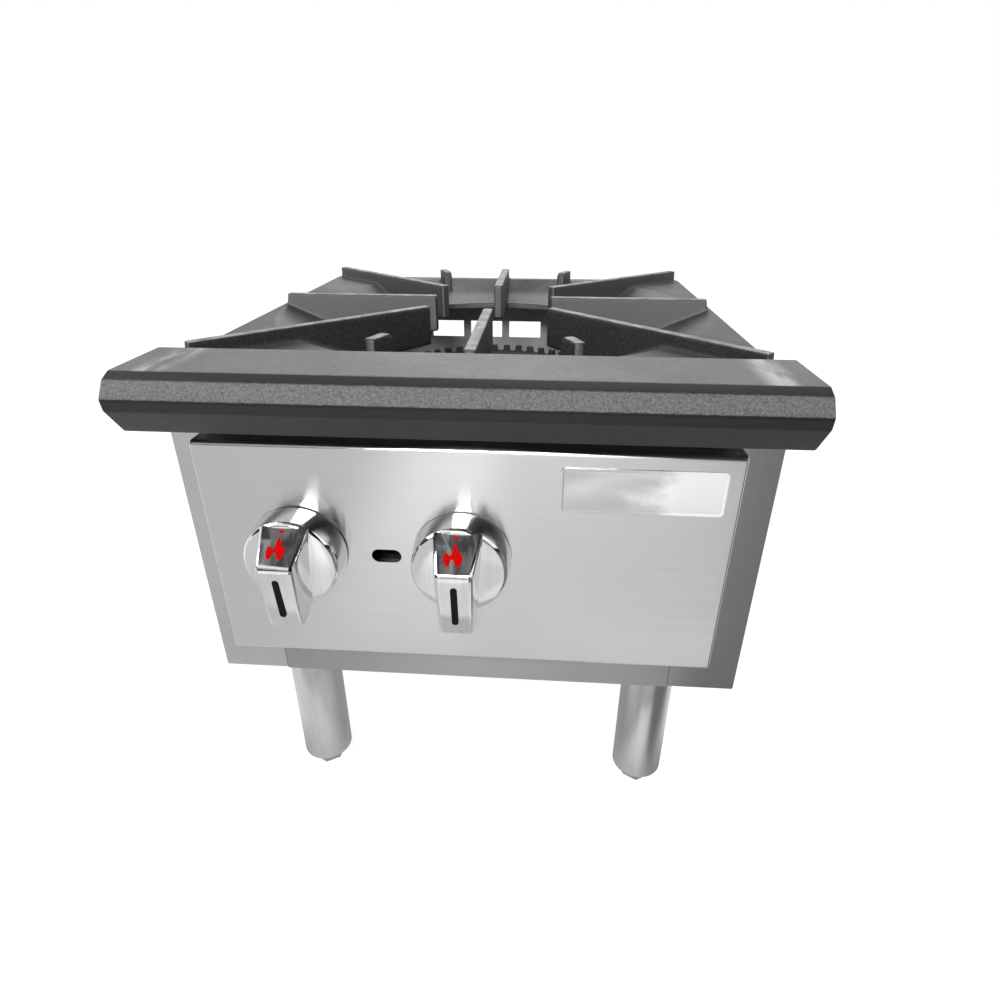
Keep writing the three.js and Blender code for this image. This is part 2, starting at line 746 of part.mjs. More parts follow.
function gasManifold() {
  const place = [manifoldY, manifoldZ];
  const body = join([
    rod('x', manifoldRadius, [-manifoldReach, manifoldReach], place),
    rod('y', manifoldRadius + 4, [manifoldY, socketEnd], [supplyX, manifoldZ]),
  ]);
  return cut(body, [
    rod('x', pipeBore, [-manifoldReach + 4, manifoldReach - 4], place, 16),
    rod('y', manifoldRadius + seat, [socketEnd - socketDepth, socketEnd + 1], [supplyX, manifoldZ]),
    rod('y', pipeBore, [manifoldY, socketEnd], [supplyX, manifoldZ], 16),
    rod('z', 7 + seat, [manifoldZ, manifoldZ + 2 * manifoldRadius], [outerKnobX, manifoldY], 12),
    rod('z', 7 + seat, [manifoldZ, manifoldZ + 2 * manifoldRadius], [innerKnobX, manifoldY], 12),
    rod('z', 4 + seat, [manifoldZ, manifoldZ + 2 * manifoldRadius], [slotCentreX, manifoldY], 10),
  ]);
}

const bracketHalf = 19;           // half the height of the manifold's brackets
const bracketFlange = 35;

// An angle bracket behind each corner flange, with a hole that the manifold's end passes through.
function manifoldBracket(side) {
  const thickness = 2.4;
  const front = sheet + seat;
  const arm = [manifoldReach - 5, manifoldReach - 5 + thickness];
  const height = [manifoldZ - bracketHalf, manifoldZ + bracketHalf];
  const span = ([a, b]) => [side * a, side * b].sort((p, q) => p - q);
  const body = join([
    block(span([arm[0], openingX + bracketFlange]), [front, front + thickness], height),
    block(span(arm), [manifoldY - manifoldRadius - 6, front + thickness], height),
  ]);
  return cut(body, [
    rod('x', manifoldRadius + seat, span([arm[0] - 1, arm[1] + 1]), [manifoldY, manifoldZ]),
  ]);
}

const inletFront = cabinetDepth + inletReach - inletLength;

function supplyPipe() {
  const limits = [socketEnd - socketDepth + seat, inletFront + inletLength / 2];
  const place = [supplyX, manifoldZ];
  return rod('y', manifoldRadius, limits, place)
    .subtract(rod('y', pipeBore, [limits[0] - 1, limits[1] + 1], place, 16));
}

function gasInlet() {
  const place = [supplyX, manifoldZ];
  const limits = [inletFront, inletFront + inletLength];
  return rod('y', inletRadius, limits, place, 8)
    .subtract(rod('y', manifoldRadius + seat, [limits[0] - 1, limits[1] + 1], place));
}

const pilotHeadZ = [burnerTop - 20, burnerTop - 4];
const pilotY = bowlCentreY - pilotBack;
const strapRearEdge = bowlCentreY - strapReach + strapWidth / 2;

// From the pilot valve, through the heat shield and under the front strap, then up to the pilot burner.
function pilotTube() {
  const start = pilotBlockY[1] + 3;
  const passed = shieldY + 20;
  const bend = 16;
  const turn = pilotY - bend;
  const corner = (x, y, z) => new THREE.Vector3(x, y, z);
  const curve = new THREE.CurvePath();
  curve.add(new THREE.LineCurve3(
    corner(slotCentreX, start, slotHeight), corner(slotCentreX, passed, slotHeight)));
  curve.add(new THREE.CubicBezierCurve3(
    corner(slotCentreX, passed, slotHeight), corner(slotCentreX, passed + 2 * bend, slotHeight),
    corner(pilotX, turn - 2 * bend, slotHeight), corner(pilotX, turn, slotHeight)));
  curve.add(new THREE.CubicBezierCurve3(
    corner(pilotX, turn, slotHeight), corner(pilotX, turn + bend / 2, slotHeight),
    corner(pilotX, pilotY, slotHeight + bend / 2), corner(pilotX, pilotY, slotHeight + bend)));
  curve.add(new THREE.LineCurve3(
    corner(pilotX, pilotY, slotHeight + bend), corner(pilotX, pilotY, pilotHeadZ[0] + 4)));
  return along(curve, pilotTubeRadius, 0, 4, 30);
}

function pilotBurner() {
  const place = [pilotX, pilotY];
  const [low, high] = pilotHeadZ;
  return cut(rod('z', pilotHeadRadius, [low, high], place, 12), [
    rod('z', pilotTubeRadius + seat, [low - 1, low + 6], place, 10),
    rod('z', 1.5, [low, high + 1], place, 8),
  ]);
}

// An angle welded to the rear edge of the front strap, with a shelf that the pilot burner stands in.
function pilotBracket() {
  const thickness = 1.5;
  const upright = [strapRearEdge + seat, strapRearEdge + seat + thickness];
  const x = [pilotX - 9, pilotX + 7];
  const shelf = pilotHeadZ[0] + 2;
  const body = join([
    block(x, upright, [strapTop - 2 * strapThickness, shelf + thickness]),
    block(x, [upright[0], pilotY + 6], [shelf, shelf + thickness]),
  ]);
  return cut(body, [
    rod('z', pilotHeadRadius + seat, [pilotHeadZ[0] - 1, shelf + 3], [pilotX, pilotY], 12),
  ]);
}

function buildGasLine(group) {
  part(group, 'gas_manifold', gasManifold(), finishes.blackPipe());
  part(group, 'manifold_bracket_left', manifoldBracket(-1), finishes.coatedSteel());
  part(group, 'manifold_bracket_right', manifoldBracket(1), finishes.coatedSteel());
  part(group, 'supply_pipe', supplyPipe(), finishes.blackPipe());
  part(group, 'gas_inlet', gasInlet(), finishes.zinc());
  part(group, 'pilot_tube', pilotTube(), finishes.aluminium());
  part(group, 'pilot_burner', pilotBurner(), finishes.brass());
  part(group, 'pilot_bracket', pilotBracket(), finishes.coatedSteel());
}

// ---- burner, drawn about its own middle ---------------------------------------------------------

const crownFoot = burnerTop - crownHeight;
const capTop = crownFoot - seat;
const capBottom = capTop - capThickness;
const ledgeTop = capBottom - seat;
const floorTop = burnerFloor + ringWall;
const neckBottom = knobHeight - neckRadius;
const neckBore = mixerRadius;

// The socket under a burner that a mixing tube comes into from the front.
function neck(x, y) {
  return rod('z', neckRadius, [neckBottom, burnerFloor + 1], [x, y], 24);
}

function neckHollow(x, y, throat) {
  return [
    rod('z', neckBore, [neckBottom + 4, burnerFloor - 2], [x, y]),
    rod('z', throat, [burnerFloor - 3, floorTop + 1], [x, y], 16),
    rod('y', mixerRadius + seat, [y - neckRadius - 1, y], [x, knobHeight]),
  ];
}

const neckEntry = 16;             // how far the end of a mixing tube lies in front of the neck's middle
const outerNeck = [outerNeckX, -outerNeckBack];
const innerNeck = [innerKnobX, 0];

function outerRing() {
  const outerWall = outerRingRadius - ringWall;
  const innerWall = outerRingInner + ringWall;
  const body = turned([
    [outerRingInner, burnerFloor],
    [outerRingRadius, burnerFloor],
    [outerRingRadius, crownFoot],
    [outerWall, crownFoot],
    [outerWall, ledgeTop],
    [outerWall - ringLedge, ledgeTop],
    [outerWall - ringLedge, floorTop],
    [innerWall + ringLedge, floorTop],
    [innerWall + ringLedge, ledgeTop],
    [innerWall, ledgeTop],
    [innerWall, crownFoot],
    [outerRingInner, crownFoot],
  ], outerTeeth);
  const crown = teeth(outerTeeth, outerWall, outerRingRadius, [crownFoot - 1, burnerTop]);
  const throat = (outerWall - innerWall) / 2 - ringLedge;
  return cut(join([solidOf(body), neck(...outerNeck), ...crown]), neckHollow(...outerNeck, throat));
}

function outerCap() {
  return turned([
    [outerRingInner + ringWall + seat, capBottom],
    [outerRingRadius - ringWall - seat, capBottom],
    [outerRingRadius - ringWall - seat, capTop],
    [outerRingInner + ringWall + seat, capTop],
  ], outerTeeth);
}

function innerRing() {
  const wall = innerRingRadius - ringWall;
  const body = turned([
    [0, burnerFloor],
    [innerRingRadius, burnerFloor],
    [innerRingRadius, crownFoot],
    [wall, crownFoot],
    [wall, ledgeTop],
    [wall - ringLedge, ledgeTop],
    [wall - ringLedge, floorTop],
    [0, floorTop],
  ], innerTeeth);
  const crown = teeth(innerTeeth, wall, innerRingRadius, [crownFoot - 1, burnerTop]);
  const armReach = strapReach + strapWidth / 2 - 4;
  const arms = [-1, 1].map((side) => block([-8, 8],
    [side * (wall - 2), side * armReach].sort((a, b) => a - b), [burnerFloor, floorTop]));
  const casting = join([solidOf(body), neck(...innerNeck), ...crown, ...arms]);
  return cut(casting, neckHollow(...innerNeck, neckBore - 2));
}

function innerCap() {
  return turned([
    [0, capBottom],
    [innerRingRadius - ringWall - seat, capBottom],
    [innerRingRadius - ringWall - seat, capTop],
    [14, capTop],
    [10, capTop + 3],
    [0, capTop + 3],
  ], innerTeeth);
}

// Each mixing tube has a wide mouth behind its orifice hood, where the air comes in.
function mouth(x) {
  return turnedToRear([
    [mixerBore, mixerMouth],
    [mouthRadius, mixerMouth],
    [mouthRadius, mixerMouth + mouthLength - 4],
    [mixerRadius - 1, mixerMouth + mouthLength + 4],
    [mixerBore, mixerMouth + mouthLength + 4],
  ], 16).translate(x, 0, knobHeight);
}

function mixingTube(startX, [endX, endY]) {
  const start = mixerMouth + mouthLength;
  const finishY = bowlCentreY + endY - neckEntry;
  const point = (x, y) => new THREE.Vector3(x, y, knobHeight);
  const curve = new THREE.CurvePath();
  const bendStart = shieldY + 18;
  const bendEnd = finishY - 18;
  curve.add(new THREE.LineCurve3(point(startX, start), point(startX, bendStart)));
  if (startX === endX) {
    curve.add(new THREE.LineCurve3(point(startX, bendStart), point(startX, finishY)));
    return join([solidOf(mouth(startX)), along(curve, mixerRadius, mixerBore, 8, 1)]);
  }
  const reach = (bendEnd - bendStart) / 2;
  curve.add(new THREE.CubicBezierCurve3(point(startX, bendStart), point(startX, bendStart + reach),
    point(endX, bendEnd - reach), point(endX, bendEnd)));
  curve.add(new THREE.LineCurve3(point(endX, bendEnd), point(endX, finishY)));
  return join([solidOf(mouth(startX)), along(curve, mixerRadius, mixerBore, 7, 9)]);
}

// A cup over the mouth, whose holes are turned to let in more or less air.
const shutterPlate = 2;
const shutterHoles = 4;

function airShutter() {
  const front = mixerMouth - seat - shutterPlate;
  const cup = turnedToRear([
    [hoodRadius + 1, front],
    [mouthRadius + seat + 1.2, front],
    [mouthRadius + seat + 1.2, mixerMouth + 5],
    [mouthRadius + seat, mixerMouth + 5],
    [mouthRadius + seat, front + shutterPlate],
    [hoodRadius + 1, front + shutterPlate],
  ], 20);
  const holes = Array.from({ length: shutterHoles }, (_, i) => {
    const angle = 2 * Math.PI * (i + 0.5) / shutterHoles;
    return rod('y', 4.5, [front - 1, front + shutterPlate + 1],
      [16 * Math.cos(angle), 16 * Math.sin(angle)], 8);
  });
  return cut(solidOf(cup), holes);
}

function buildBurner(group) {
  const heads = new THREE.Group();
  heads.position.y = bowlCentreY;
  group.add(heads);
  part(heads, 'outer_burner_ring', outerRing(), finishes.burnerIron());
  part(heads, 'outer_burner_cap', outerCap(), finishes.burnerIron());
  part(heads, 'inner_burner_ring', innerRing(), finishes.burnerIron());
  part(heads, 'inner_burner_cap', innerCap(), finishes.burnerIron());
  part(group, 'outer_mixing_tube', mixingTube(outerKnobX, outerNeck), finishes.burnerIron());
  part(group, 'inner_mixing_tube', mixingTube(innerKnobX, innerNeck), finishes.burnerIron());
  part(group, 'outer_air_shutter', airShutter(), finishes.zinc(), [outerKnobX, 0, knobHeight]);
  part(group, 'inner_air_shutter', airShutter(), finishes.zinc(), [innerKnobX, 0, knobHeight]);
  part(group, 'front_burner_strap', supportStrap(bowlCentreY - strapReach), finishes.coatedSteel());
  part(group, 'rear_burner_strap', supportStrap(bowlCentreY + strapReach), finishes.coatedSteel());
}

// ---- cast iron top ------------------------------------------------------------------------------

// Distance from the bowl's middle to a rectangle's edge in one direction, with the rectangle drawn in
// from the grate's outline by an inset.
function edgeReach(angle, inset) {
  const [cos, sin] = [Math.cos(angle), Math.sin(angle)];
  const sideways = (halfGrate - inset) / Math.max(Math.abs(cos), 1e-9);
  const room = sin > 0 ? grateRear - bowlCentreY : bowlCentreY - grateFront;
  const lengthways = (room - inset) / Math.max(Math.abs(sin), 1e-9);
  return Math.min(sideways, lengthways);
}

// The rim and the bowl, lofted round the bowl's middle. The outline's corners are steps of their own.
function bowl() {
  const corners = [[1, 1], [-1, 1], [-1, -1], [1, -1]].flatMap(([sideX, sideY]) => [0, grateWall].map(
    (inset) => Math.atan2(
      sideY * ((sideY > 0 ? grateRear - bowlCentreY : bowlCentreY - grateFront) - inset),
      sideX * (halfGrate - inset),
    )));
  const even = Array.from({ length: 56 }, (_, i) => -Math.PI + 2 * Math.PI * (i + 0.5) / 56);
  const angles = [...even, ...corners].sort((a, b) => a - b);
  const rimFlat = grateWall + 2;
  const lip = 4;
  const sections = angles.map((angle) => {
    const outer = edgeReach(angle, 0);
    const inner = edgeReach(angle, grateWall);
    const brim = Math.min(bowlRadius, edgeReach(angle, rimFlat));
    return [
      [outer, grateSeat],
      [outer, deckZ],
      [brim, deckZ],
      [bowlStepRadius, deckZ - bowlStepDepth],
      [openingRadius + lip, deckZ - openingDepth],
      [openingRadius + lip - 1, deckZ - openingDepth + 2],
      [openingRadius, deckZ - openingDepth + 2],
      [openingRadius - 1, deckZ - openingDepth - grateWall],
      [openingRadius + lip, deckZ - openingDepth - grateWall],
      [bowlStepRadius, deckZ - bowlStepDepth - grateWall],
      [brim, deckZ - grateWall],
      [inner, deckZ - grateWall],
      [inner, grateSeat],
    ].map(([reach, height]) => [reach * Math.cos(angle), bowlCentreY + reach * Math.sin(angle), height]);
  });
  const ringSize = sections[0].length;
  const indices = [];
  sections.forEach((_, i) => {
    const next = (i + 1) % sections.length;
    for (let j = 0; j < ringSize; j += 1) {
      const up = (j + 1) % ringSize;
      const [a, b] = [i * ringSize + j, next * ringSize + j];
      const [c, d] = [next * ringSize + up, i * ringSize + up];
      indices.push(a, b, c, a, c, d);
    }
  });
  const geometry = new THREE.BufferGeometry();
  geometry.setAttribute('position', new THREE.Float32BufferAttribute(sections.flat(2), 3));
  geometry.setIndex(indices);
  return solidOf(geometry);
}

// A rib's side outline from its tip, over the opening, to its foot in the bowl and its outer end. The
// length is measured from the tip along the rib.
function rib([tipX, tipY], [outerX, outerY]) {
  const length = Math.hypot(outerX - tipX, outerY - tipY);
  const tipRadius = Math.hypot(tipX, tipY);
  const onOpening = openingRadius + 4 - tipRadius;
  const onStep = bowlStepRadius - tipRadius;
  const foot = (depth) => deckZ - depth - grateWall / 2;
  const outline = [
    [0, railTop],
    [0, railTop - ribTipHeight],
    [onOpening, foot(openingDepth)],
    [onStep, foot(bowlStepDepth)],
    [Math.min(bowlRadius - tipRadius, length - 4), foot(0)],
    [length + 3, foot(0)],
    [length, railTop],
  ];
  return standing(outline, ribThickness, [tipX, tipY], Math.atan2(outerY - tipY, outerX - tipX));
}

// An upright slab: its outline is run through its thickness, turned about Z and set at a place.
function standing(outline, thickness, [x, y], angle) {
  const geometry = new THREE.ExtrudeGeometry(shapeOf(outline), { depth: thickness, bevelEnabled: false });
  geometry.rotateX(Math.PI / 2);
  geometry.translate(0, thickness / 2, 0);
  geometry.rotateZ(angle);
  geometry.translate(x, bowlCentreY + y, 0);
  return solidOf(geometry);
}

function lug(angle) {
  const length = lugOuter - lugInner;
  const slope = bowlStepDepth / (bowlRadius - bowlStepRadius);
  const foot = (radius) => deckZ - (bowlRadius - radius) * slope - grateWall / 2;
  const outline = [
    [0, railTop - 3],
    [0, foot(lugInner)],
    [length, foot(lugOuter)],
    [length, railTop],
    [4, railTop],
  ];
  return standing(outline, ribThickness, [lugInner * Math.cos(angle), lugInner * Math.sin(angle)], angle);
}

function topGrate() {
  const ribs = [-1, 1].flatMap((side) => [
    rib([side * ribTipX, -ribTipFront], [side * ribReachX, -ribFrontReach]),
    rib([side * ribTipX, 0], [side * ribReachX, 0]),
    rib([side * ribTipX, ribTipRear], [side * ribReachX, ribRearReach]),
  ]);
  const middle = [
    rib([0, -middleTipReach], [0, -(bowlCentreY - grateFront - 6)]),
    rib([0, middleTipReach], [0, ribRearReach]),
  ];
  const half = lugAngle * Math.PI / 180;
  const lugs = [half, Math.PI - half, -half, half - Math.PI].map(lug);
  return join([bowl(), ...ribs, ...middle, ...lugs]);
}

function landingRail() {
  const nose = -railReach;
  const rear = -seat;
  const skin = [
    [railLap, railTop],
    [railLap, railTop - railWall],
    [rear, railTop - railWall],
    [rear, railBottom - 5],
    [rear - railWall, railBottom - 5],
    [rear - railWall, railBottom],
    [nose + 15.7, railBottom],
    [nose + 1.2, railBottom + 18.8],
    [nose, railTop - 14.4],
    [nose + 7.8, railTop - 3.7],
    [nose + 16, railTop],
  ].reverse();
  const hollow = [
    [rear - railWall, railBottom - 1],
    [nose + 15.7 + railWall, railBottom - 1],
    [nose + 1.2 + railWall, railBottom + 20],
    [nose + railWall, railTop - 15],
    [nose + 13, railTop - railWall],
    [rear - railWall, railTop - railWall],
  ].reverse();
  const casting = runAlongX(skin, [-halfRail, halfRail])
    .subtract(runAlongX(hollow, [railWall - halfRail, halfRail - railWall]));
  return cut(casting, railBoltHoles);
}

// A hex bolt that holds the landing rail from inside the header.
function railBolt() {
  const headFront = 2 * sheet + 2 * seat;
  return join([
    rod('y', 2 * railBoltRadius, [headFront, headFront + 4], [0, 0], 6),
    rod('y', railBoltRadius, [-railBoltReach, headFront + 1], [0, 0], 8),
  ]);
}

function buildTop(group) {
  part(group, 'front_landing_rail', landingRail(), finishes.railIron());
  railBoltPlaces.forEach((x, i) => {
    part(group, `rail_bolt_${i + 1}`, railBolt(), finishes.zinc(), [x, 0, railBoltZ]);
  });
  part(group, 'top_grate', topGrate(), finishes.grateIron());
}

// ---- legs, drawn from the cabinet's bottom edge downwards ---------------------------------------

const tubeTop = -seat;
const tubeBottom = tubeTop - legTubeLength;
const tubeLid = 4;
const plugHeight = 10;
const footTop = tubeBottom - seat;

// A round tube with a threaded stud on its lid and a tapped plug in its lower end.
function leg() {
  const inner = legRadius - legWall;
  const studTop = sheet + seat + legPadThickness + legNutHeight;
  return turned([
    [legRadius, tubeBottom],
    [legRadius, tubeTop],
    [legStudRadius, tubeTop],
    [legStudRadius, studTop],
    [0, studTop],
    [0, tubeTop - tubeLid],
    [inner, tubeTop - tubeLid],
    [inner, tubeBottom + plugHeight],
    [studRadius + seat, tubeBottom + plugHeight],
    [studRadius + seat, tubeBottom],
  ], 24);
}

function foot() {
  const hex = new THREE.CylinderGeometry(footTopRadius, footBottomRadius, legHeight + footTop, 6);
  hex.rotateX(Math.PI / 2);
  hex.translate(0, 0, (footTop - legHeight) / 2);
  return solidOf(hex).add(rod('z', studRadius, [footTop - 1, footTop + footStudLength], [0, 0], 12));
}

function buildLegs(group) {
  for (const [place, x, y] of legCentres) {
    part(group, `leg_${place}`, leg(), finishes.platedLeg(), [x, y, 0]);
    part(group, `foot_${place}`, foot(), finishes.platedLeg(), [x, y, 0]);
  }
}

// ---- the whole range ----------------------------------------------------------------------------

const range = new THREE.Group();
for (const build of [buildCabinet, buildControls, buildGasLine, buildBurner, buildTop, buildLegs]) {
  const group = new THREE.Group();
  build(group);
  range.add(group);
}

const extent = new THREE.Box3().setFromObject(range, true);
range.position.set(
  -(extent.min.x + extent.max.x) / 2,
  -(extent.min.y + extent.max.y) / 2,
  -extent.min.z,
);
range.updateMatrixWorld(true);

export default range;
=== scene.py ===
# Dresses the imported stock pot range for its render. Lengths are in metres, and the range stands on
# z = 0 with its knobs towards -Y.

import json
import math

import bmesh
import bpy
from mathutils import Matrix, Vector

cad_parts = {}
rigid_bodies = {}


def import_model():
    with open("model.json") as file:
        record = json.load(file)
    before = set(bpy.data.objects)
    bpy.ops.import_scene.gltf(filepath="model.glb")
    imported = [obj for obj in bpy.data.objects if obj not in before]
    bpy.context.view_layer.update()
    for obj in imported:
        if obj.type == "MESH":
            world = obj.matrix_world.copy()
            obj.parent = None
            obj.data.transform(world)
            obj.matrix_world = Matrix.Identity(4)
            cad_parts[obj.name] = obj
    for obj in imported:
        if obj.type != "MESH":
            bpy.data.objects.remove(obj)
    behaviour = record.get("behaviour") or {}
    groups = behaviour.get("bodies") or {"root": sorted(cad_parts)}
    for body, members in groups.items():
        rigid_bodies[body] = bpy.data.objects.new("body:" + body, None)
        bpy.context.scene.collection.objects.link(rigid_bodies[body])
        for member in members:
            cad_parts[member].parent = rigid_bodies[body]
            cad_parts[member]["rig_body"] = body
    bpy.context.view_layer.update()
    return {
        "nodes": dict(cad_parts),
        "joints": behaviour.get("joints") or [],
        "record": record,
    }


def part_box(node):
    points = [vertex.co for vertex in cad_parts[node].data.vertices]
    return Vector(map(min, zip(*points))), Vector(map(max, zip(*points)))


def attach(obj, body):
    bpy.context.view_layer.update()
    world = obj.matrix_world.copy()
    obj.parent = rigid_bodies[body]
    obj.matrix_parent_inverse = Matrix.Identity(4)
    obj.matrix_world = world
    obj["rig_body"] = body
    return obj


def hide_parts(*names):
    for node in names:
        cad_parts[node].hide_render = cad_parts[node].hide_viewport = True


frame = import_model()
nodes = frame["nodes"]
joints = {joint["name"]: joint for joint in frame["joints"]}
slotOf = {row["node"]: row["material_slot"] for row in frame["record"]["subparts"]}
mm = 0.001
touch = 0.01 * mm  # corners nearer than this are one corner
near = 0.1 * mm  # an edge nearer than this to a face lies in it
print("frame loaded:", len(nodes), "nodes")

# small helpers for modelling


def only(piece):
    bpy.ops.object.select_all(action="DESELECT")
    piece.select_set(True)
    bpy.context.view_layer.objects.active = piece


def settle(piece, name):
    # the place goes into the mesh, and the object stays at the origin
    piece.name = name
    piece.data.name = name
    only(piece)
    bpy.ops.object.transform_apply(location=True, rotation=True, scale=True)
    return piece


def addBlock(name, low, high):
    low, high = Vector(low), Vector(high)
    bpy.ops.object.select_all(action="DESELECT")
    bpy.ops.mesh.primitive_cube_add(size=1, location=(low + high) / 2, scale=high - low)
    return settle(bpy.context.object, name)


def addRound(name, radius, low, high, axis="Z", sides=64, tip=None):
    # low and high are the middles of its two ends, and tip is its radius at the high end
    turns = {"Y": (-math.pi / 2, 0, 0), "Z": (0, 0, 0)}
    low, high = Vector(low), Vector(high)
    bpy.ops.object.select_all(action="DESELECT")
    bpy.ops.mesh.primitive_cone_add(
        vertices=sides, radius1=radius, radius2=radius if tip is None else tip,
        depth=(high - low).length, location=(low + high) / 2, rotation=turns[axis])
    return settle(bpy.context.object, name)


def addUpright(name, radius, centre, low, high, **more):
    return addRound(name, radius, (centre.x, centre.y, low), (centre.x, centre.y, high), **more)


def addOutline(name, points, fill="NGON"):
    # a flat face, or a bare loop, with one corner for each point
    bpy.ops.object.select_all(action="DESELECT")
    bpy.ops.mesh.primitive_circle_add(vertices=len(points), fill_type=fill)
    piece = settle(bpy.context.object, name)
    for vertex, point in zip(piece.data.vertices, points):
        vertex.co = point
    return piece


def edit(piece, kind="FACE"):
    only(piece)
    bpy.ops.object.mode_set(mode="EDIT")
    bpy.ops.mesh.select_mode(type=kind)


def leave():
    bpy.ops.object.mode_set(mode="OBJECT")


def pick(piece, kind, test):
    # selects the faces, edges or verts that pass a test, in edit mode
    mesh = bmesh.from_edit_mesh(piece.data)
    for items in (mesh.faces, mesh.edges, mesh.verts):
        for item in items:
            item.select_set(False)
    for item in getattr(mesh, kind):
        if test(item):
            item.select_set(True)
    bmesh.update_edit_mesh(piece.data)


def middle(edge):
    return (edge.verts[0].co + edge.verts[1].co) / 2


def along(edge):
    return (edge.verts[1].co - edge.verts[0].co).normalized()


def modify(piece, kind, **settings):
    modifier = piece.modifiers.new(kind.lower(), kind)
    for setting, value in settings.items():
        setattr(modifier, setting, value)
    only(piece)
    bpy.ops.object.modifier_apply(modifier=modifier.name)


def roundEdges(piece, width, segments=3, angle=30):
    modify(piece, "BEVEL", width=width, segments=segments, limit_method="ANGLE",
           angle_limit=math.radians(angle))


def smooth(piece, angle=35):
    only(piece)
    bpy.ops.object.shade_smooth_by_angle(angle=math.radians(angle))


def smoothSheet(piece):
    # the bends shade round and the flat faces stay flat
    smooth(piece)
    modify(piece, "WEIGHTED_NORMAL", keep_sharp=True, weight=50)


def cutAway(piece, cutter):
    modify(piece, "BOOLEAN", object=cutter, operation="DIFFERENCE", solver="EXACT")
    bpy.data.objects.remove(cutter)


def addOn(piece, other):
    modify(piece, "BOOLEAN", object=other, operation="UNION", solver="EXACT")
    bpy.data.objects.remove(other)


def moved(piece, place):
    only(piece)
    piece.location = place
    return settle(piece, piece.name)


def joined(name, pieces):
    bpy.ops.object.select_all(action="DESELECT")
    for piece in pieces:
        piece.select_set(True)
    bpy.context.view_layer.objects.active = pieces[0]
    bpy.ops.object.join()
    pieces[0].name = name
    pieces[0].data.name = name
    return pieces[0]


def outwards(piece):
    # its corners are merged, and all its faces point out
    edit(piece)
    bpy.ops.mesh.select_all(action="SELECT")
    bpy.ops.mesh.remove_doubles(threshold=touch)
    bpy.ops.mesh.normals_make_consistent(inside=False)
    leave()


def copyOf(node, name):
    # a merged copy of a node, with its flat faces made whole again
    piece = bpy.data.objects.new(name, nodes[node].data.copy())
    bpy.context.scene.collection.objects.link(piece)
    piece.data.materials.clear()
    settle(piece, name)
    edit(piece)
    bpy.ops.mesh.select_all(action="SELECT")
    bpy.ops.mesh.remove_doubles(threshold=touch)
    bpy.ops.mesh.dissolve_limited(angle_limit=math.radians(0.5))
    leave()
    return piece


def dress(piece, finish, body):
    piece.data.materials.clear()
    piece.data.materials.append(finish)
    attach(piece, body)


def stand(piece, node, finish):
    # the piece takes the node's place, its finish slot and its body
    dress(piece, finish, nodes[node]["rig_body"])
    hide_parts(node)


# materials: one class wraps a socket, and one holds a tree of nodes


class Signal:
    def __init__(self, wiring, socket):
        self.wiring = wiring
        self.socket = socket

    def math(self, operation, first, second):
        return self.wiring.node("Math", {"operation": operation}, {0: first, 1: second})

    def __add__(self, other):
        return self.math("ADD", self, other)

    def __radd__(self, other):
        return self.math("ADD", other, self)

    def __sub__(self, other):
        return self.math("SUBTRACT", self, other)

    def __rsub__(self, other):
        return self.math("SUBTRACT", other, self)

    def __mul__(self, other):
        return self.math("MULTIPLY", self, other)

    def __rmul__(self, other):
        return self.math("MULTIPLY", other, self)

    def between(self, low, high):
        # 0 at low and 1 at high, with low the larger of the two to turn it round
        return self.wiring.node("MapRange", {"interpolation_type": "SMOOTHSTEP"},
                                {"Value": self, "From Min": low, "From Max": high})

    def part(self, axis):
        return self.wiring.node("SeparateXYZ", sockets={0: self}, output=axis)


class Wiring:
    def __init__(self, tree):
        self.tree = tree

    def node(self, kind, settings=None, sockets=None, output=0):
        made = self.tree.nodes.new("ShaderNode" + kind)
        for name, value in (settings or {}).items():
            if name == "stops":
                while len(made.color_ramp.elements) < len(value):
                    made.color_ramp.elements.new(0.5)
                for element, (position, level) in zip(made.color_ramp.elements, value):
                    element.position = position
                    element.color = (level, level, level, 1)
            else:
                setattr(made, name, value)
        for name, value in (sockets or {}).items():
            if isinstance(value, Signal):
                self.tree.links.new(value.socket, made.inputs[name])
            else:
                made.inputs[name].default_value = value
        return Signal(self, made.outputs[output]) if made.outputs else None

    def mixed(self, share, first, second):
        sockets = {0: share}
        for index, colour in ((6, first), (7, second)):
            sockets[index] = colour if isinstance(colour, Signal) else (*colour, 1)
        return self.node("Mix", {"data_type": "RGBA"}, sockets, output=2)


class Finish(Wiring):
    def __init__(self, name, colour, metallic, roughness, **fixed):
        self.material = bpy.data.materials.new(name)
        self.material.use_nodes = True
        super().__init__(self.material.node_tree)
        self.shader = self.tree.nodes["Principled BSDF"]
        self.shader.inputs["Base Color"].default_value = (*colour, 1)
        self.shader.inputs["Metallic"].default_value = metallic
        self.shader.inputs["Roughness"].default_value = roughness
        for socket, value in fixed.items():
            self.shader.inputs[socket.replace("_", " ")].default_value = value
        self.place = self.node("TexCoord", output="Object")

    def spread(self, stretch):
        if stretch == (1, 1, 1):
            return self.place
        return self.node("Mapping", sockets={"Vector": self.place, "Scale": stretch})

    def noise(self, scale, stretch=(1, 1, 1), detail=3, roughness=0.55):
        return self.node("TexNoise", sockets={"Vector": self.spread(stretch), "Scale": scale,
                                              "Detail": detail, "Roughness": roughness})

    def feed(self, socket, signal):
        self.tree.links.new(signal.socket, self.shader.inputs[socket])

    def bump(self, height, depth, under=None):
        sockets = {"Height": height, "Distance": depth}
        if under is not None:
            sockets["Normal"] = under
        return self.node("Bump", sockets=sockets)


def grey(level, warm=0.0):
    return (level * (1 + warm), level, level * (1 - warm))


# brushed sheet: its brush lines run along one axis, and spread is how far the gloss runs across them
brush = {"fine": 2600, "long": 9, "bandWidth": 12, "depth": 0.012 * mm, "warm": 0.006}
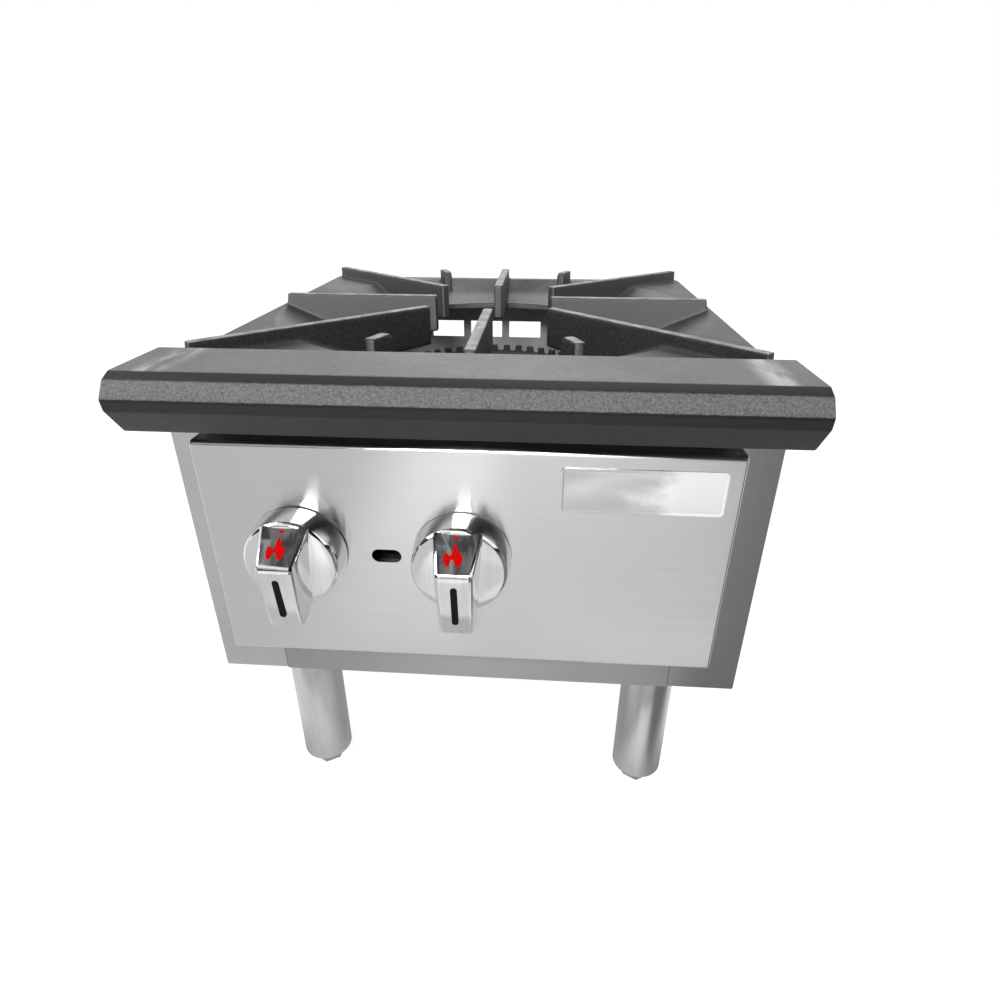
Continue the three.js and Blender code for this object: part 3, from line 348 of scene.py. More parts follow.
# shares of the sheet's own level: two kinds of brush line, broad bands, wiped patches and specks
brushTones = {"line": 0.975, "brightLine": 1.02, "band": 0.94, "wiped": 0.88, "speck": 0.8}


def brushedSteel(name, level, roughness, brushAxis="X", spread=1.0, lean=0.0, inside=0.0):
    across = tuple(brush["long"] if axis == brushAxis else brush["fine"] for axis in "XYZ")
    tones = {key: grey(level * share, brush["warm"]) for key, share in brushTones.items()}
    finish = Finish(name, grey(level, brush["warm"]), 1.0, roughness, Anisotropic=spread,
                    Anisotropic_Rotation=0.0 if brushAxis == "Z" else 0.25)
    lines = finish.noise(1, across, detail=5, roughness=0.7)
    bands = finish.noise(1, tuple(size / brush["bandWidth"] for size in across))
    wiped = finish.noise(7, detail=5, roughness=0.6)
    specks = finish.noise(420, detail=2).between(0.66, 0.74)
    tone = finish.mixed(lines.between(0.3, 0.7), tones["line"], tones["brightLine"])
    tone = finish.mixed(bands.between(0.35, 0.75) * 0.3, tone, tones["band"])
    tone = finish.mixed(wiped.between(0.4, 0.7) * 0.35, tone, tones["wiped"])
    finish.feed("Base Color", finish.mixed(specks * 0.25, tone, tones["speck"]))
    finish.feed("Roughness", roughness - 0.04 + wiped * 0.08 + lines * 0.03)
    ground = finish.bump(lines + bands * 0.4, brush["depth"])
    if lean:
        # the right-hand flange is not folded quite flat
        side = finish.place.part("X")
        ground = finish.bump(side.math("MAXIMUM", side, 0.0) * -lean, 1.0, ground)
    if inside:
        # its inner face is dulled by heat and spatter
        inner = finish.node("NewGeometry", output="Normal").part("Y").between(-0.3, -0.7)
        finish.feed("Metallic", 1 - inner * inside)
    finish.feed("Normal", ground)
    return finish.material


# the name plate's bright film is painted whiter towards its right end, a painted reflection with a ragged
# edge
film = {"bare": 0.72, "paintedGlare": 0.98, "ragged": 0.7, "dull": 0.85, "gloss": 0.18, "depth": 0.008 * mm}


def brightPlate():
    low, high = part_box("name_plate")
    finish = Finish("bright_plate_sheet", grey(0.8), 1.0, 0.22)
    cloud = finish.noise(38, (0.5, 1, 1), detail=4, roughness=0.5)
    lines = finish.noise(1, (brush["long"], brush["fine"], brush["fine"]), detail=4)
    share = (finish.place.part("X") - low.x) * (1 / (high.x - low.x))
    # painted reflection: the right end is painted whiter and less metallic
    paintedGlare = (share + (cloud - 0.5) * film["ragged"]).between(0.36, 0.66)
    finish.feed("Base Color", finish.mixed(paintedGlare, grey(film["bare"]), grey(film["paintedGlare"])))
    finish.feed("Metallic", 1 - paintedGlare * film["dull"])
    finish.feed("Roughness", film["gloss"] + cloud * 0.1 + lines * 0.03)
    finish.feed("Normal", finish.bump(lines, film["depth"]))
    return finish.material


# cast iron: a pebbled skin from the sand mould, with broader pits under it
casting = {"grain": 620, "pits": 210, "grainDepth": 0.16 * mm, "pitDepth": 0.3 * mm}


def castSkin(finish, depth=1.0):
    grain = finish.noise(casting["grain"], detail=3, roughness=0.6)
    pits = finish.noise(casting["pits"], detail=4, roughness=0.6)
    sunk = finish.bump(pits, casting["pitDepth"] * depth)
    finish.feed("Normal", finish.bump(grain, casting["grainDepth"] * depth, sunk))
    return grain, pits


# the grate's sides stay dark, its deck is stained, its rib tops are worn bare with a painted sheen, and its
# bowl is painted lighter at the back
grateTones = {"side": 0.012, "sideWorn": 0.035, "front": 0.18, "backSide": 0.06, "deck": 0.04,
              "stain": 0.085, "bowl": 0.15, "rib": 0.11, "bare": 0.24}
# depths below the rib tops, and how far those lines wander
grateDepths = {"ribTop": 1.0 * mm, "ribFoot": 2.4 * mm, "bowlTop": 22 * mm, "bowlFoot": 30 * mm,
               "wobble": 0.8 * mm}


def grateIron():
    tones = {key: grey(level) for key, level in grateTones.items()}
    finish = Finish("seasoned_grate_iron", tones["side"], 0.0, 0.45, Specular_IOR_Level=0.5)
    grain, pits = castSkin(finish)
    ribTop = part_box("top_grate")[1].z
    normal = finish.node("NewGeometry", output="Normal")
    height = finish.place.part("Z")
    reach = finish.place.part("Y")
    upward = normal.part("Z").between(0.55, 0.9)
    # faces square to the front are painted lighter: painted light from the front
    paintedFrontLight = normal.part("Y").between(-0.85, -0.98)
    onRib = (height + (pits - 0.5) * grateDepths["wobble"]).between(
        ribTop - grateDepths["ribFoot"], ribTop - grateDepths["ribTop"])
    inBowl = height.between(ribTop - grateDepths["bowlTop"], ribTop - grateDepths["bowlFoot"])
    stained = finish.noise(14, detail=5).between(0.35, 0.7)
    chafed = finish.noise(70, detail=4, roughness=0.6).between(0.4, 0.62)
    side = finish.mixed(grain.between(0.35, 0.7), tones["side"], tones["sideWorn"])
    side = finish.mixed(reach.between(0.04, 0.1) * 0.8, side, tones["backSide"])
    side = finish.mixed(paintedFrontLight * 0.85, side, tones["front"])
    deck = finish.mixed(stained, tones["deck"], tones["stain"])
    deck = finish.mixed(grain.between(0.45, 0.75) * 0.3, deck, side)
    # the bowl's lower slope towards the back is painted lighter: painted light
    deck = finish.mixed(inBowl * reach.between(-0.04, 0.17), deck, tones["bowl"])
    # the rib tops' light tone is wear and, in part, a painted sheen
    rib = finish.mixed(chafed, tones["rib"], tones["bare"])
    flat = finish.mixed(onRib, deck, rib)
    # faces turned up take the lighter deck and rib tones over the dark sides: partly a painted sheen
    finish.feed("Base Color", finish.mixed(upward, side, flat))
    finish.feed("Roughness", 0.5 + pits * 0.15 - upward * 0.1 - onRib * 0.04)
    return finish.material


# the landing rail's flat top is worn light and its nose is speckled, while its two narrow bevels are painted
# dark: painted shade and dark reflection
railTones = {"top": 0.125, "bevel": 0.006, "nose": 0.118, "lowBand": 0.016, "lowBevelShadeLine": 0.004, "under": 0.04,
             "shaded": 0.012, "paleMark": 0.5}
# where each band fades in: depths below the top, then heights over its foot, then behind its front
railBands = {"bevel": (3.4 * mm, 4.6 * mm), "lowBand": (13.9 * mm, 14.9 * mm),
             "lowBevelShadeLine": (16.6 * mm, 15.8 * mm), "under": (22.2 * mm, 23.2 * mm),
             "overFoot": (4.6 * mm, 3.6 * mm), "behindNose": (15 * mm, 16.6 * mm)}
railMarkSizes = {"wobble": 1.2 * mm, "paleMarkWide": 30 * mm, "paleMarkFromEnd": 42 * mm}


def railIron():
    low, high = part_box("front_landing_rail")
    tones = {key: grey(level) for key, level in railTones.items()}
    finish = Finish("landing_rail_iron", tones["nose"], 0.0, 0.55, Specular_IOR_Level=0.5)
    grain, pits = castSkin(finish, 0.8)
    wobble = (pits - 0.5) * railMarkSizes["wobble"]
    height = finish.place.part("Z") + wobble
    reach = finish.place.part("Y") + wobble
    side = finish.place.part("X")

    def below(band):
        start, end = railBands[band]
        return height.between(high.z - start, high.z - end)

    def speckled(tone, share, dark, light):
        return finish.mixed(share, grey(railTones[tone] * dark), grey(railTones[tone] * light))

    cloud = finish.noise(16, detail=5, roughness=0.62).between(0.3, 0.7)
    speckle = grain.between(0.36, 0.64)
    fine = finish.noise(1300, detail=2).between(0.38, 0.62)
    top = speckled("top", cloud, 0.85, 1.15)
    top = finish.mixed(speckle * 0.45, top, grey(railTones["top"] * 0.6))
    nose = speckled("nose", speckle * 0.5 + fine * 0.5, 0.5, 1.5)
    lowBand = below("lowBand")
    # the bevel over the nose and the band under it are painted dark, with a darkest line along that band's
    # top: painted shade and dark reflection
    tone = finish.mixed(below("bevel"), tones["bevel"], nose)
    tone = finish.mixed(lowBand, tone, tones["lowBand"])
    tone = finish.mixed(lowBand * below("lowBevelShadeLine"), tone, tones["lowBevelShadeLine"])
    # the underside and the bottom few millimetres are painted darker: painted shade under the rail
    tone = finish.mixed(below("under"), tone, tones["under"])
    start, end = railBands["overFoot"]
    tone = finish.mixed(height.between(low.z + start, low.z + end), tone, tones["shaded"])
    start, end = railBands["behindNose"]
    flatTop = reach.between(low.y + start, low.y + end)
    tone = finish.mixed(flatTop, tone, top)
    # a pale streak across the top near each end
    paleMarkStart = high.x - railMarkSizes["paleMarkFromEnd"]
    nearEnd = (side * side).between(paleMarkStart ** 2, (paleMarkStart + railMarkSizes["paleMarkWide"]) ** 2)
    streak = nearEnd * (1 - nearEnd) * 4
    patchy = finish.noise(60, (1, 0.3, 1), detail=4).between(0.34, 0.56)
    tone = finish.mixed(streak * patchy * flatTop * 0.75, tone, tones["paleMark"])
    finish.feed("Base Color", tone)
    finish.feed("Roughness", 0.5 + pits * 0.2 - flatTop * 0.06)
    return finish.material


# the burner's castings are sooty, with rust coming through in patches
burner = {"soot": 0.02, "ash": 0.05, "rust": (0.09, 0.055, 0.035), "rusty": 0.35}


def burnerIron():
    finish = Finish("sooty_burner_iron", grey(0.03), 0.0, 0.72)
    grain, pits = castSkin(finish)
    rust = finish.noise(45, detail=5, roughness=0.65).between(0.56, 0.7)
    soot = finish.mixed(grain.between(0.3, 0.7), grey(burner["soot"]), grey(burner["ash"]))
    finish.feed("Base Color", finish.mixed(rust * burner["rusty"], soot, burner["rust"]))
    finish.feed("Roughness", 0.62 + pits * 0.25)
    return finish.material


# the knobs' chrome has faint polishing lines, finger marks and a slow ripple of the casting
chromeTones = {"line": 0.8, "brightLine": 0.86, "smudge": 0.66}
chromeDepths = {"lines": 0.02 * mm, "ripple": 0.2 * mm}


def chrome():
    tones = {key: grey(level) for key, level in chromeTones.items()}
    finish = Finish("polished_chrome", grey(0.82), 1.0, 0.06)
    smudge = finish.noise(55, detail=5, roughness=0.65).between(0.45, 0.75)
    haze = finish.noise(260, (1, 1, 0.25), detail=4).between(0.5, 0.8)
    drawn = finish.noise(1, (420, 14, 14), detail=4, roughness=0.6)
    ripple = finish.noise(38, detail=2)
    finish.feed("Roughness", 0.04 + smudge * 0.06 + haze * 0.04 + drawn * 0.03)
    tone = finish.mixed(drawn.between(0.35, 0.65), tones["line"], tones["brightLine"])
    finish.feed("Base Color", finish.mixed(smudge * 0.3 + haze * 0.15, tone, tones["smudge"]))
    sunk = finish.bump(ripple, chromeDepths["ripple"])
    finish.feed("Normal", finish.bump(drawn, chromeDepths["lines"], sunk))
    return finish.material


# plated legs and feet have drawn lines up the tube and a dull cloud over them
plating = {"warm": 0.005, "depth": 0.015 * mm}
platingTones = {"line": 0.97, "brightLine": 1.05, "cloud": 0.78}


def platedSteel(name, level):
    tones = {key: grey(level * share, plating["warm"]) for key, share in platingTones.items()}
    finish = Finish(name, grey(level, plating["warm"]), 1.0, 0.2)
    drawn = finish.noise(1, (240, 240, 5))
    cloud = finish.noise(30, (1, 1, 0.4), detail=5).between(0.35, 0.75)
    tone = finish.mixed(drawn.between(0.3, 0.7), tones["line"], tones["brightLine"])
    finish.feed("Base Color", finish.mixed(cloud * 0.5, tone, tones["cloud"]))
    finish.feed("Roughness", 0.15 + cloud * 0.1 + drawn * 0.04)
    finish.feed("Normal", finish.bump(drawn, plating["depth"]))
    return finish.material


# aluminised sheet: a fine spangle with a cloudy skin
coating = {"dark": grey(0.36), "light": grey(0.5), "spangle": 210, "depth": 0.2 * mm}


def coatedSteel():
    finish = Finish("aluminised_sheet", grey(0.42), 1.0, 0.45)
    spangle = finish.node("TexVoronoi", sockets={"Vector": finish.place, "Scale": coating["spangle"]},
                          output="Color")
    shade = spangle.part("X")
    cloud = finish.noise(24, detail=5)
    finish.feed("Base Color", finish.mixed(shade * 0.5 + cloud * 0.3, coating["dark"], coating["light"]))
    finish.feed("Roughness", 0.36 + shade * 0.12 + cloud * 0.1)
    finish.feed("Normal", finish.bump(cloud, coating["depth"]))
    return finish.material


brass = {"clean": (0.66, 0.48, 0.2), "tarnished": (0.34, 0.22, 0.1), "toolMarks": 0.02 * mm}


def turnedBrass():
    finish = Finish("machined_brass", (0.62, 0.45, 0.19), 1.0, 0.28)
    tool = finish.noise(1, (60, 2200, 60))
    dull = finish.noise(70, detail=5).between(0.4, 0.75)
    finish.feed("Base Color", finish.mixed(dull * 0.6, brass["clean"], brass["tarnished"]))
    finish.feed("Roughness", 0.2 + dull * 0.22)
    finish.feed("Normal", finish.bump(tool, brass["toolMarks"]))
    return finish.material


pipe = {"coat": 0.03, "worn": 0.13, "depth": 0.12 * mm}


def blackPipe():
    finish = Finish("black_pipe_coat", grey(pipe["coat"]), 0.0, 0.55)
    scale = finish.noise(240, detail=4)
    worn = finish.noise(40, detail=5, roughness=0.7).between(0.6, 0.72)
    finish.feed("Base Color", finish.mixed(worn * 0.5, grey(pipe["coat"]), grey(pipe["worn"])))
    finish.feed("Roughness", 0.42 + scale * 0.25)
    finish.feed("Normal", finish.bump(scale, pipe["depth"]))
    return finish.material


zinc = {"bright": (0.62, 0.64, 0.67), "dull": (0.47, 0.48, 0.48), "depth": 0.03 * mm}


def zincPlate():
    finish = Finish("zinc_plate", (0.58, 0.6, 0.62), 1.0, 0.34)
    cloud = finish.noise(160, detail=5).between(0.35, 0.7)
    finish.feed("Base Color", finish.mixed(cloud, zinc["bright"], zinc["dull"]))
    finish.feed("Roughness", 0.26 + cloud * 0.18)
    finish.feed("Normal", finish.bump(finish.noise(900, detail=2), zinc["depth"]))
    return finish.material


tubing = {"dull": 0.6, "bright": 0.76, "depth": 0.03 * mm}


def drawnAluminium():
    finish = Finish("drawn_aluminium", grey(0.68), 1.0, 0.32)
    drawn = finish.noise(1, (900, 12, 900))
    dull = finish.noise(55, detail=5)
    finish.feed("Base Color", finish.mixed(dull, grey(tubing["dull"]), grey(tubing["bright"])))
    finish.feed("Roughness", 0.24 + drawn * 0.12 + dull * 0.08)
    finish.feed("Normal", finish.bump(drawn, tubing["depth"]))
    return finish.material


enamelling = {"thin": 0.7, "depth": 0.03 * mm}


def enamel(name, colour):
    finish = Finish(name, colour, 0.0, 0.5, Specular_IOR_Level=0.05)
    uneven = finish.noise(700)
    thin = tuple(share * enamelling["thin"] for share in colour)
    finish.feed("Base Color", finish.mixed(uneven * 0.4, colour, thin))
    finish.feed("Roughness", 0.45 + uneven * 0.2)
    finish.feed("Normal", finish.bump(uneven, enamelling["depth"]))
    return finish.material


# one finish for each slot of the part
finishes = {
    "stainless": brushedSteel("brushed_stainless", level=0.74, roughness=0.16),
    "side_steel": brushedSteel("brushed_side_sheet", level=0.66, roughness=0.2, brushAxis="Z", spread=0.4,
                               lean=0.08),
    "coated_steel": coatedSteel(),
    "chrome": chrome(),
    "plated_leg": platedSteel("plated_leg_steel", level=0.66),
    "grate_iron": grateIron(),
    "rail_iron": railIron(),
    "burner_iron": burnerIron(),
    "brass": turnedBrass(),
    "black_pipe": blackPipe(),
    "zinc": zincPlate(),
    "aluminium": drawnAluminium(),
    "plate": brightPlate(),
}
# pieces that look duller than the rest of their slot, with the base channel darker as painted shade, and the
# marks on the knobs
dullAndShadedSheets = {
    # painted shade: the base channel's lower level stands in for the shadowed floor it mirrors
    "front_base_channel": brushedSteel("dull_base_sheet", level=0.44, roughness=0.26),
    "back_panel": brushedSteel("dull_back_sheet", level=0.74, roughness=0.24, brushAxis="Z", spread=0.4,
                               inside=0.85),
}
footSteel = platedSteel("plated_foot_steel", level=0.46)
redEnamel = enamel("red_mark_enamel", (0.56, 0.001, 0.001))
blackEnamel = enamel("black_mark_enamel", (0.012, 0.012, 0.013))
print("materials made:", len(bpy.data.materials))

# camera, floor and lights

cameraSizes = {"place": (52.39, -630.19, 557.49), "heading": 3.869, "down": 27.24, "roll": 0.176,
               "focal": 640.66, "picture": 1000, "sensor": 36}


def addCamera():
    turn, down, roll = (math.radians(cameraSizes[key]) for key in ("heading", "down", "roll"))
    forward = Vector((-math.sin(turn) * math.cos(down), math.cos(turn) * math.cos(down), -math.sin(down)))
    level = Vector((math.cos(turn), math.sin(turn), 0))
    upright = level.cross(forward)
    right = level * math.cos(roll) + upright * math.sin(roll)
    up = upright * math.cos(roll) - level * math.sin(roll)
    facing = Matrix((right, up, -forward)).transposed().to_4x4()
    bpy.ops.object.camera_add()
    camera = bpy.context.object
    camera.matrix_world = Matrix.Translation(Vector(cameraSizes["place"]) * mm) @ facing
    camera.data.sensor_width = cameraSizes["sensor"]
    camera.data.lens = cameraSizes["sensor"] * cameraSizes["focal"] / cameraSizes["picture"]
    camera.data.clip_start = 0.01
    bpy.context.scene.camera = camera


floorSizes = {"reach": 12, "drop": 0.2 * mm, "shade": 0.3, "metalShade": 0.02, "glow": 0.86,
              "mirrored": 0.95}
# how light the floor looks in the metal: to the left, middle and right, far off and near, in a band
# before the range, under it, beside it and round its legs
floorTones = {"left": 0.66, "middle": 0.8, "farMiddle": 1.14, "right": 0.7, "far": 0.82, "near": 0.86,
              "band": 0.5, "bandLeft": 0.6, "underLeft": 0.66, "underRight": 0.45, "legs": 0.86,
              "shadow": 0.42, "rightEnd": 0.2, "beside": 1.05}


def floorTone(wiring, across, reach):
    # across runs to the right and reach to the back, in metres from the middle of the range
    tones = {key: grey(level) for key, level in floorTones.items()}
    apart = across * across
    centre = wiring.mixed(reach.between(-0.62, -0.98), tones["middle"], tones["farMiddle"])
    tone = wiring.mixed(across.between(-0.34, -0.2), tones["left"], centre)
    tone = wiring.mixed(across.between(-0.08, 0.04), tone, tones["right"])
    tone = wiring.mixed(across.between(-0.1, 0.02) * reach.between(-0.8, -0.95), tone, tones["far"])
    tone = wiring.mixed(across.between(-0.04, 0.08) * reach.between(-0.6, -0.54), tone, tones["near"])
    band = wiring.mixed(across.between(-0.3, 0.0), tones["bandLeft"], tones["band"])
    tone = wiring.mixed(reach.between(-0.46, -0.43), tone, band)
    under = wiring.mixed(across.between(-0.1, 0.15), tones["underLeft"], tones["underRight"])
    tone = wiring.mixed(reach.between(-0.37, -0.34), tone, under)
    legs = reach.between(-0.34, -0.29) * apart.between(0.006, 0.018)
    tone = wiring.mixed(legs, tone, tones["legs"])
    shadow = reach.between(-0.23, -0.13) * reach.between(0.24, 0.14) * apart.between(0.06, 0.035)
    tone = wiring.mixed(shadow, tone, tones["shadow"])
    rightSide = (across + reach * 0.43).between(0.07, 0.12) * reach.between(-0.1, -0.22)
    tone = wiring.mixed(rightSide, tone, tones["rightEnd"])
    farRight = across.between(0.5, 0.7) * reach.between(-1.3, -1.5)
    tone = wiring.mixed(farRight, tone, tones["rightEnd"])
    beside = apart.between(0.08, 0.16) * reach.between(-0.18, -0.02)
    return wiring.mixed(beside, tone, tones["beside"])


def addFloor():
    bpy.ops.object.select_all(action="DESELECT")
    bpy.ops.mesh.primitive_plane_add(size=floorSizes["reach"], location=(0, 0, -floorSizes["drop"]))
    floor = settle(bpy.context.object, "studio_floor")
    material = bpy.data.materials.new("studio_paper")
    material.use_nodes = True
    wiring = Wiring(material.node_tree)
    wiring.tree.nodes.clear()
    place = wiring.node("TexCoord", output="Object")
    tone = floorTone(wiring, place.part("X"), place.part("Y"))
    seen = wiring.node("LightPath", output="Is Camera Ray")
    mirrored = wiring.node("LightPath", output="Is Glossy Ray")
    shade = wiring.mixed(mirrored, grey(floorSizes["shade"]), grey(floorSizes["metalShade"]))
    paper = wiring.node("BsdfDiffuse", sockets={"Color": shade})
    bright = wiring.node("Emission", sockets={"Strength": seen * floorSizes["glow"]})
    image = wiring.node("Emission", sockets={"Color": tone, "Strength": mirrored * floorSizes["mirrored"]})
    both = wiring.node("AddShader", sockets={0: bright, 1: image})
    both = wiring.node("AddShader", sockets={0: paper, 1: both})
    wiring.node("OutputMaterial", sockets={"Surface": both})
    floor.data.materials.append(material)


# what the metal mirrors: a bright band behind, and in front a dim room with a bright window, a light
# wall above it, thin blinds overhead and a dark right side
worldLevels = {"soft": 0.6, "haze": 1.0, "room": 0.05, "window": 1.8, "upper": 0.9, "blinds": 0.3,
               "dimRight": 0.88, "stripes": (38, 1.5, 1.5),
               "stops": ((0.0, 0.7), (0.35, 0.95), (0.6, 0.8), (0.82, 0.2), (1.0, 0.08))}


def lightWorld():
    world = bpy.data.worlds.new("studio_sky")
    world.use_nodes = True
    bpy.context.scene.world = world
    wiring = Wiring(world.node_tree)
    wiring.tree.nodes.clear()
    towards = wiring.node("TexCoord", output="Generated")
    side, ahead, height = (towards.part(axis) for axis in "XYZ")
    behind = wiring.node("ValToRGB", {"stops": worldLevels["stops"]}, {0: height}, "Color")
    haze = height.between(0.14, 0.02)
    window = side.between(-0.01, 0.04) * side.between(0.2, 0.15)
    window = window * height.between(0.12, 0.2) * height.between(0.5, 0.4)
    upper = height.between(0.42, 0.52) * height.between(0.86, 0.8) * side.between(0.14, 0.08)
    inFront = haze * worldLevels["haze"] + worldLevels["room"] + window * worldLevels["window"]
    inFront = inFront + upper * worldLevels["upper"]
    facing = ahead.between(0.12, -0.12)
    stripes = wiring.node("Mapping", sockets={"Vector": towards, "Scale": worldLevels["stripes"]})
    blinds = wiring.node("TexNoise", sockets={"Vector": stripes, "Scale": 1.0, "Detail": 3})
    blinds = blinds.between(0.42, 0.66)
    mirrored = inFront * facing + behind * (1 - facing)
    mirrored = mirrored + blinds * height.between(0.75, 0.9) * worldLevels["blinds"]
    mirrored = mirrored * (1 - side.between(0.22, 0.5) * facing * worldLevels["dimRight"])
    glossy = wiring.node("LightPath", output="Is Glossy Ray")
    camera = wiring.node("LightPath", output="Is Camera Ray")
    colour = wiring.mixed(glossy, grey(worldLevels["soft"]), mirrored)
    colour = wiring.mixed(camera, colour, grey(1.0))
    shade = wiring.node("Background", sockets={"Color": colour})
    wiring.node("OutputWorld", sockets={"Surface": shade})


lamps = {
    "key": {"place": (-0.15, -1.75, 1.5), "size": (0.7, 0.4), "power": 20},
    "left": {"place": (-1.6, -0.5, 1.5), "size": (1.0, 1.0), "power": 12},
    "fill": {"place": (1.5, -0.9, 1.3), "size": (1.2, 1.2), "power": 5},
    "top": {"place": (0.3, 1.0, 2.2), "size": (1.6, 1.6), "power": 14},
    "back": {"place": (-0.15, 1.45, 1.25), "size": (0.9, 0.9), "power": 4},
}


def addLamps():
    aim = Vector((0, 0, 0.3))
    for name, lamp in lamps.items():
        place = Vector(lamp["place"])
        bpy.ops.object.light_add(type="AREA", location=place,
                                 rotation=(aim - place).to_track_quat("-Z", "Y").to_euler())
        light = bpy.context.object
        light.name = name + "_lamp"
        light.data.shape = "RECTANGLE"
        light.data.size, light.data.size_y = lamp["size"]
        light.data.energy = lamp["power"]


bpy.context.scene.view_settings.view_transform = "Standard"
addCamera()
addFloor()
lightWorld()
addLamps()
print("camera, floor and lights placed")

# sheet metal pieces, folded from thin sheet with round bends

sheet = {"thick": 1.2 * mm, "bend": 1.8 * mm, "bendSteps": 4}


def foldSheet(piece):
    # a shell of outer faces gets round bends, and then its thickness on the inside
    edit(piece, "EDGE")
    pick(piece, "edges", lambda edge: len(edge.link_faces) == 2 and edge.calc_face_angle() > 1)
    bpy.ops.mesh.bevel(offset=sheet["bend"], segments=sheet["bendSteps"], affect="EDGES")
    leave()
    modify(piece, "SOLIDIFY", thickness=sheet["thick"], offset=-1)


panel = {"topBend": 4 * mm, "topSteps": 6, "slotLength": 22 * mm, "slotWidth": 10.8 * mm, "slotSteps": 12,
         "stemHole": 6.5 * mm, "cutter": 5 * mm}


def makeControlPanel():
    low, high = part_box("control_panel")
    piece = addBlock("control_panel_sheet", low, high)
    edit(piece)
    pick(piece, "faces", lambda face: face.normal.y > 0.9)
    bpy.ops.mesh.delete(type="FACE")
    leave()
    # the bend along its top front edge is rounder than the others
    edit(piece, "EDGE")
    pick(piece, "edges", lambda edge: min(end.co.z for end in edge.verts) > high.z - near
         and max(end.co.y for end in edge.verts) < low.y + near)
    bpy.ops.mesh.bevel(offset=panel["topBend"], segments=panel["topSteps"], affect="EDGES")
    leave()
    foldSheet(piece)
    # a slot with round ends before the pilot screw, and a hole for each valve stem
    screw = sum(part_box("pilot_adjust_screw"), Vector()) / 2
    reach = Vector((0, panel["cutter"], 0))
    half = Vector((panel["slotLength"] / 2, 0, panel["slotWidth"] / 2))
    front = Vector((screw.x, low.y, screw.z))
    slot = addBlock("slot_cutter", front - half - reach, front + half + reach)
    edit(slot, "EDGE")
    pick(slot, "edges", lambda edge: abs(along(edge).y) > 0.9)
    bpy.ops.mesh.bevel(offset=panel["slotWidth"] * 0.499, segments=panel["slotSteps"], affect="EDGES")
    leave()
    cutAway(piece, slot)
    for name in ("left_knob_turn", "right_knob_turn"):
        place = Vector(joints[name]["pos_m"])
        cutAway(piece, addRound("stem_cutter", panel["stemHole"], place - reach, place + reach, "Y"))
    smoothSheet(piece)
    stand(piece, "control_panel", finishes["stainless"])


sidePanel = {"topFlange": 20 * mm}


def makeSidePanel(side):
    node = f"{side}_side_panel"
    low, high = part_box(node)
    outward = -1 if side == "left" else 1
    piece = addBlock(f"{side}_side_sheet", low, high)
    edit(piece)
    pick(piece, "faces", lambda face: face.normal.x * outward < -0.9)
    bpy.ops.mesh.delete(type="FACE")
    leave()
    # the flange at the top is narrower than the other three
    flangeEnd = low.x if outward > 0 else high.x
    wall = high.x if outward > 0 else low.x
    topEnd = wall - outward * sidePanel["topFlange"]
    edit(piece)
    bpy.ops.mesh.select_all(action="SELECT")
    bpy.ops.mesh.bisect(plane_co=(topEnd, 0, 0), plane_no=(1, 0, 0))
    pick(piece, "faces", lambda face: face.normal.z > 0.9
         and abs(face.calc_center_median().x - flangeEnd) < abs(topEnd - flangeEnd))
    bpy.ops.mesh.delete(type="FACE")
    leave()
    foldSheet(piece)
    smoothSheet(piece)
    stand(piece, node, finishes["side_steel"])


makeControlPanel()
for side in ("left", "right"):
    makeSidePanel(side)
print("sheet metal folded")

# name plate, left blank inside a sunk border line

plate = {"corner": 3 * mm, "border": 1.6 * mm, "line": 0.45 * mm, "depth": 0.25 * mm, "edge": 0.15 * mm}


def makeNamePlate():
    low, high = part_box("name_plate")
    piece = addBlock("blank_name_plate", low, high)
    edit(piece, "EDGE")
    pick(piece, "edges", lambda edge: abs(along(edge).y) > 0.9)
    bpy.ops.mesh.bevel(offset=plate["corner"], segments=8, affect="EDGES")
    bpy.ops.mesh.select_mode(type="FACE")
    pick(piece, "faces", lambda face: face.normal.y < -0.9)
    bpy.ops.mesh.inset(thickness=plate["border"], depth=0)
    bpy.ops.mesh.inset(thickness=plate["line"], depth=-plate["depth"])
    bpy.ops.mesh.inset(thickness=plate["line"], depth=plate["depth"])
    leave()
    roundEdges(piece, plate["edge"], 2, 50)
    smooth(piece)
    stand(piece, "name_plate", finishes["plate"])


makeNamePlate()
print("name plate made")

# knobs, drawn in millimetres from the point where their axis meets the panel, with Y negative to the
# front: the skirt by radius and Y, and the grip by half its width, Y and Z

knob = {
    "rows": ((0, -24), (25, -23), (32, -21.5), (34, -19.5), (36, -1.5), (0, -1.5)),
    "steps": 96,
    "grip": ((17.5, -20.5, 31), (12.5, -49, 13), (11.25, -43.5, -36), (11.25, -37, -38), (13, -20.5, -31)),
    "edge": 0.5 * mm,
    "chamfer": 2.4 * mm,
    "ridge": 4.5 * mm,
    # the edges to chamfer and the ridge lie before the first value and above the second
    "chamferFrom": (-30 * mm, -36.5 * mm),
    "ridgeFrom": (-45 * mm, 11 * mm),
}
mark = {
    "proud": 0.12 * mm,
    "sunk": 0.3 * mm,
    "corner": 0.9 * mm,
    "lineLong": 33 * mm,
    "lineWide": 4.6 * mm,
    # in millimetres from the middle of their face
    "dot": (-0.5, 12.9, 1.5),
    "flame": ((-0.7, 9.3), (1.0, 5.7), (1.7, 3.1), (4.1, 1.4), (5.3, -2.0), (4.8, -5.6), (3.3, -8.5),
              (1.5, -8.5), (0.1, -5.6), (-0.9, -3.1), (-2.7, -3.1), (-3.0, -5.6), (-3.9, -8.3),
              (-5.5, -8.3), (-7.4, -5.1), (-7.8, -1.5), (-6.8, 1.6), (-4.8, 1.4), (-3.6, -0.8),
              (-2.4, 0.5), (-1.9, 4.7)),
}


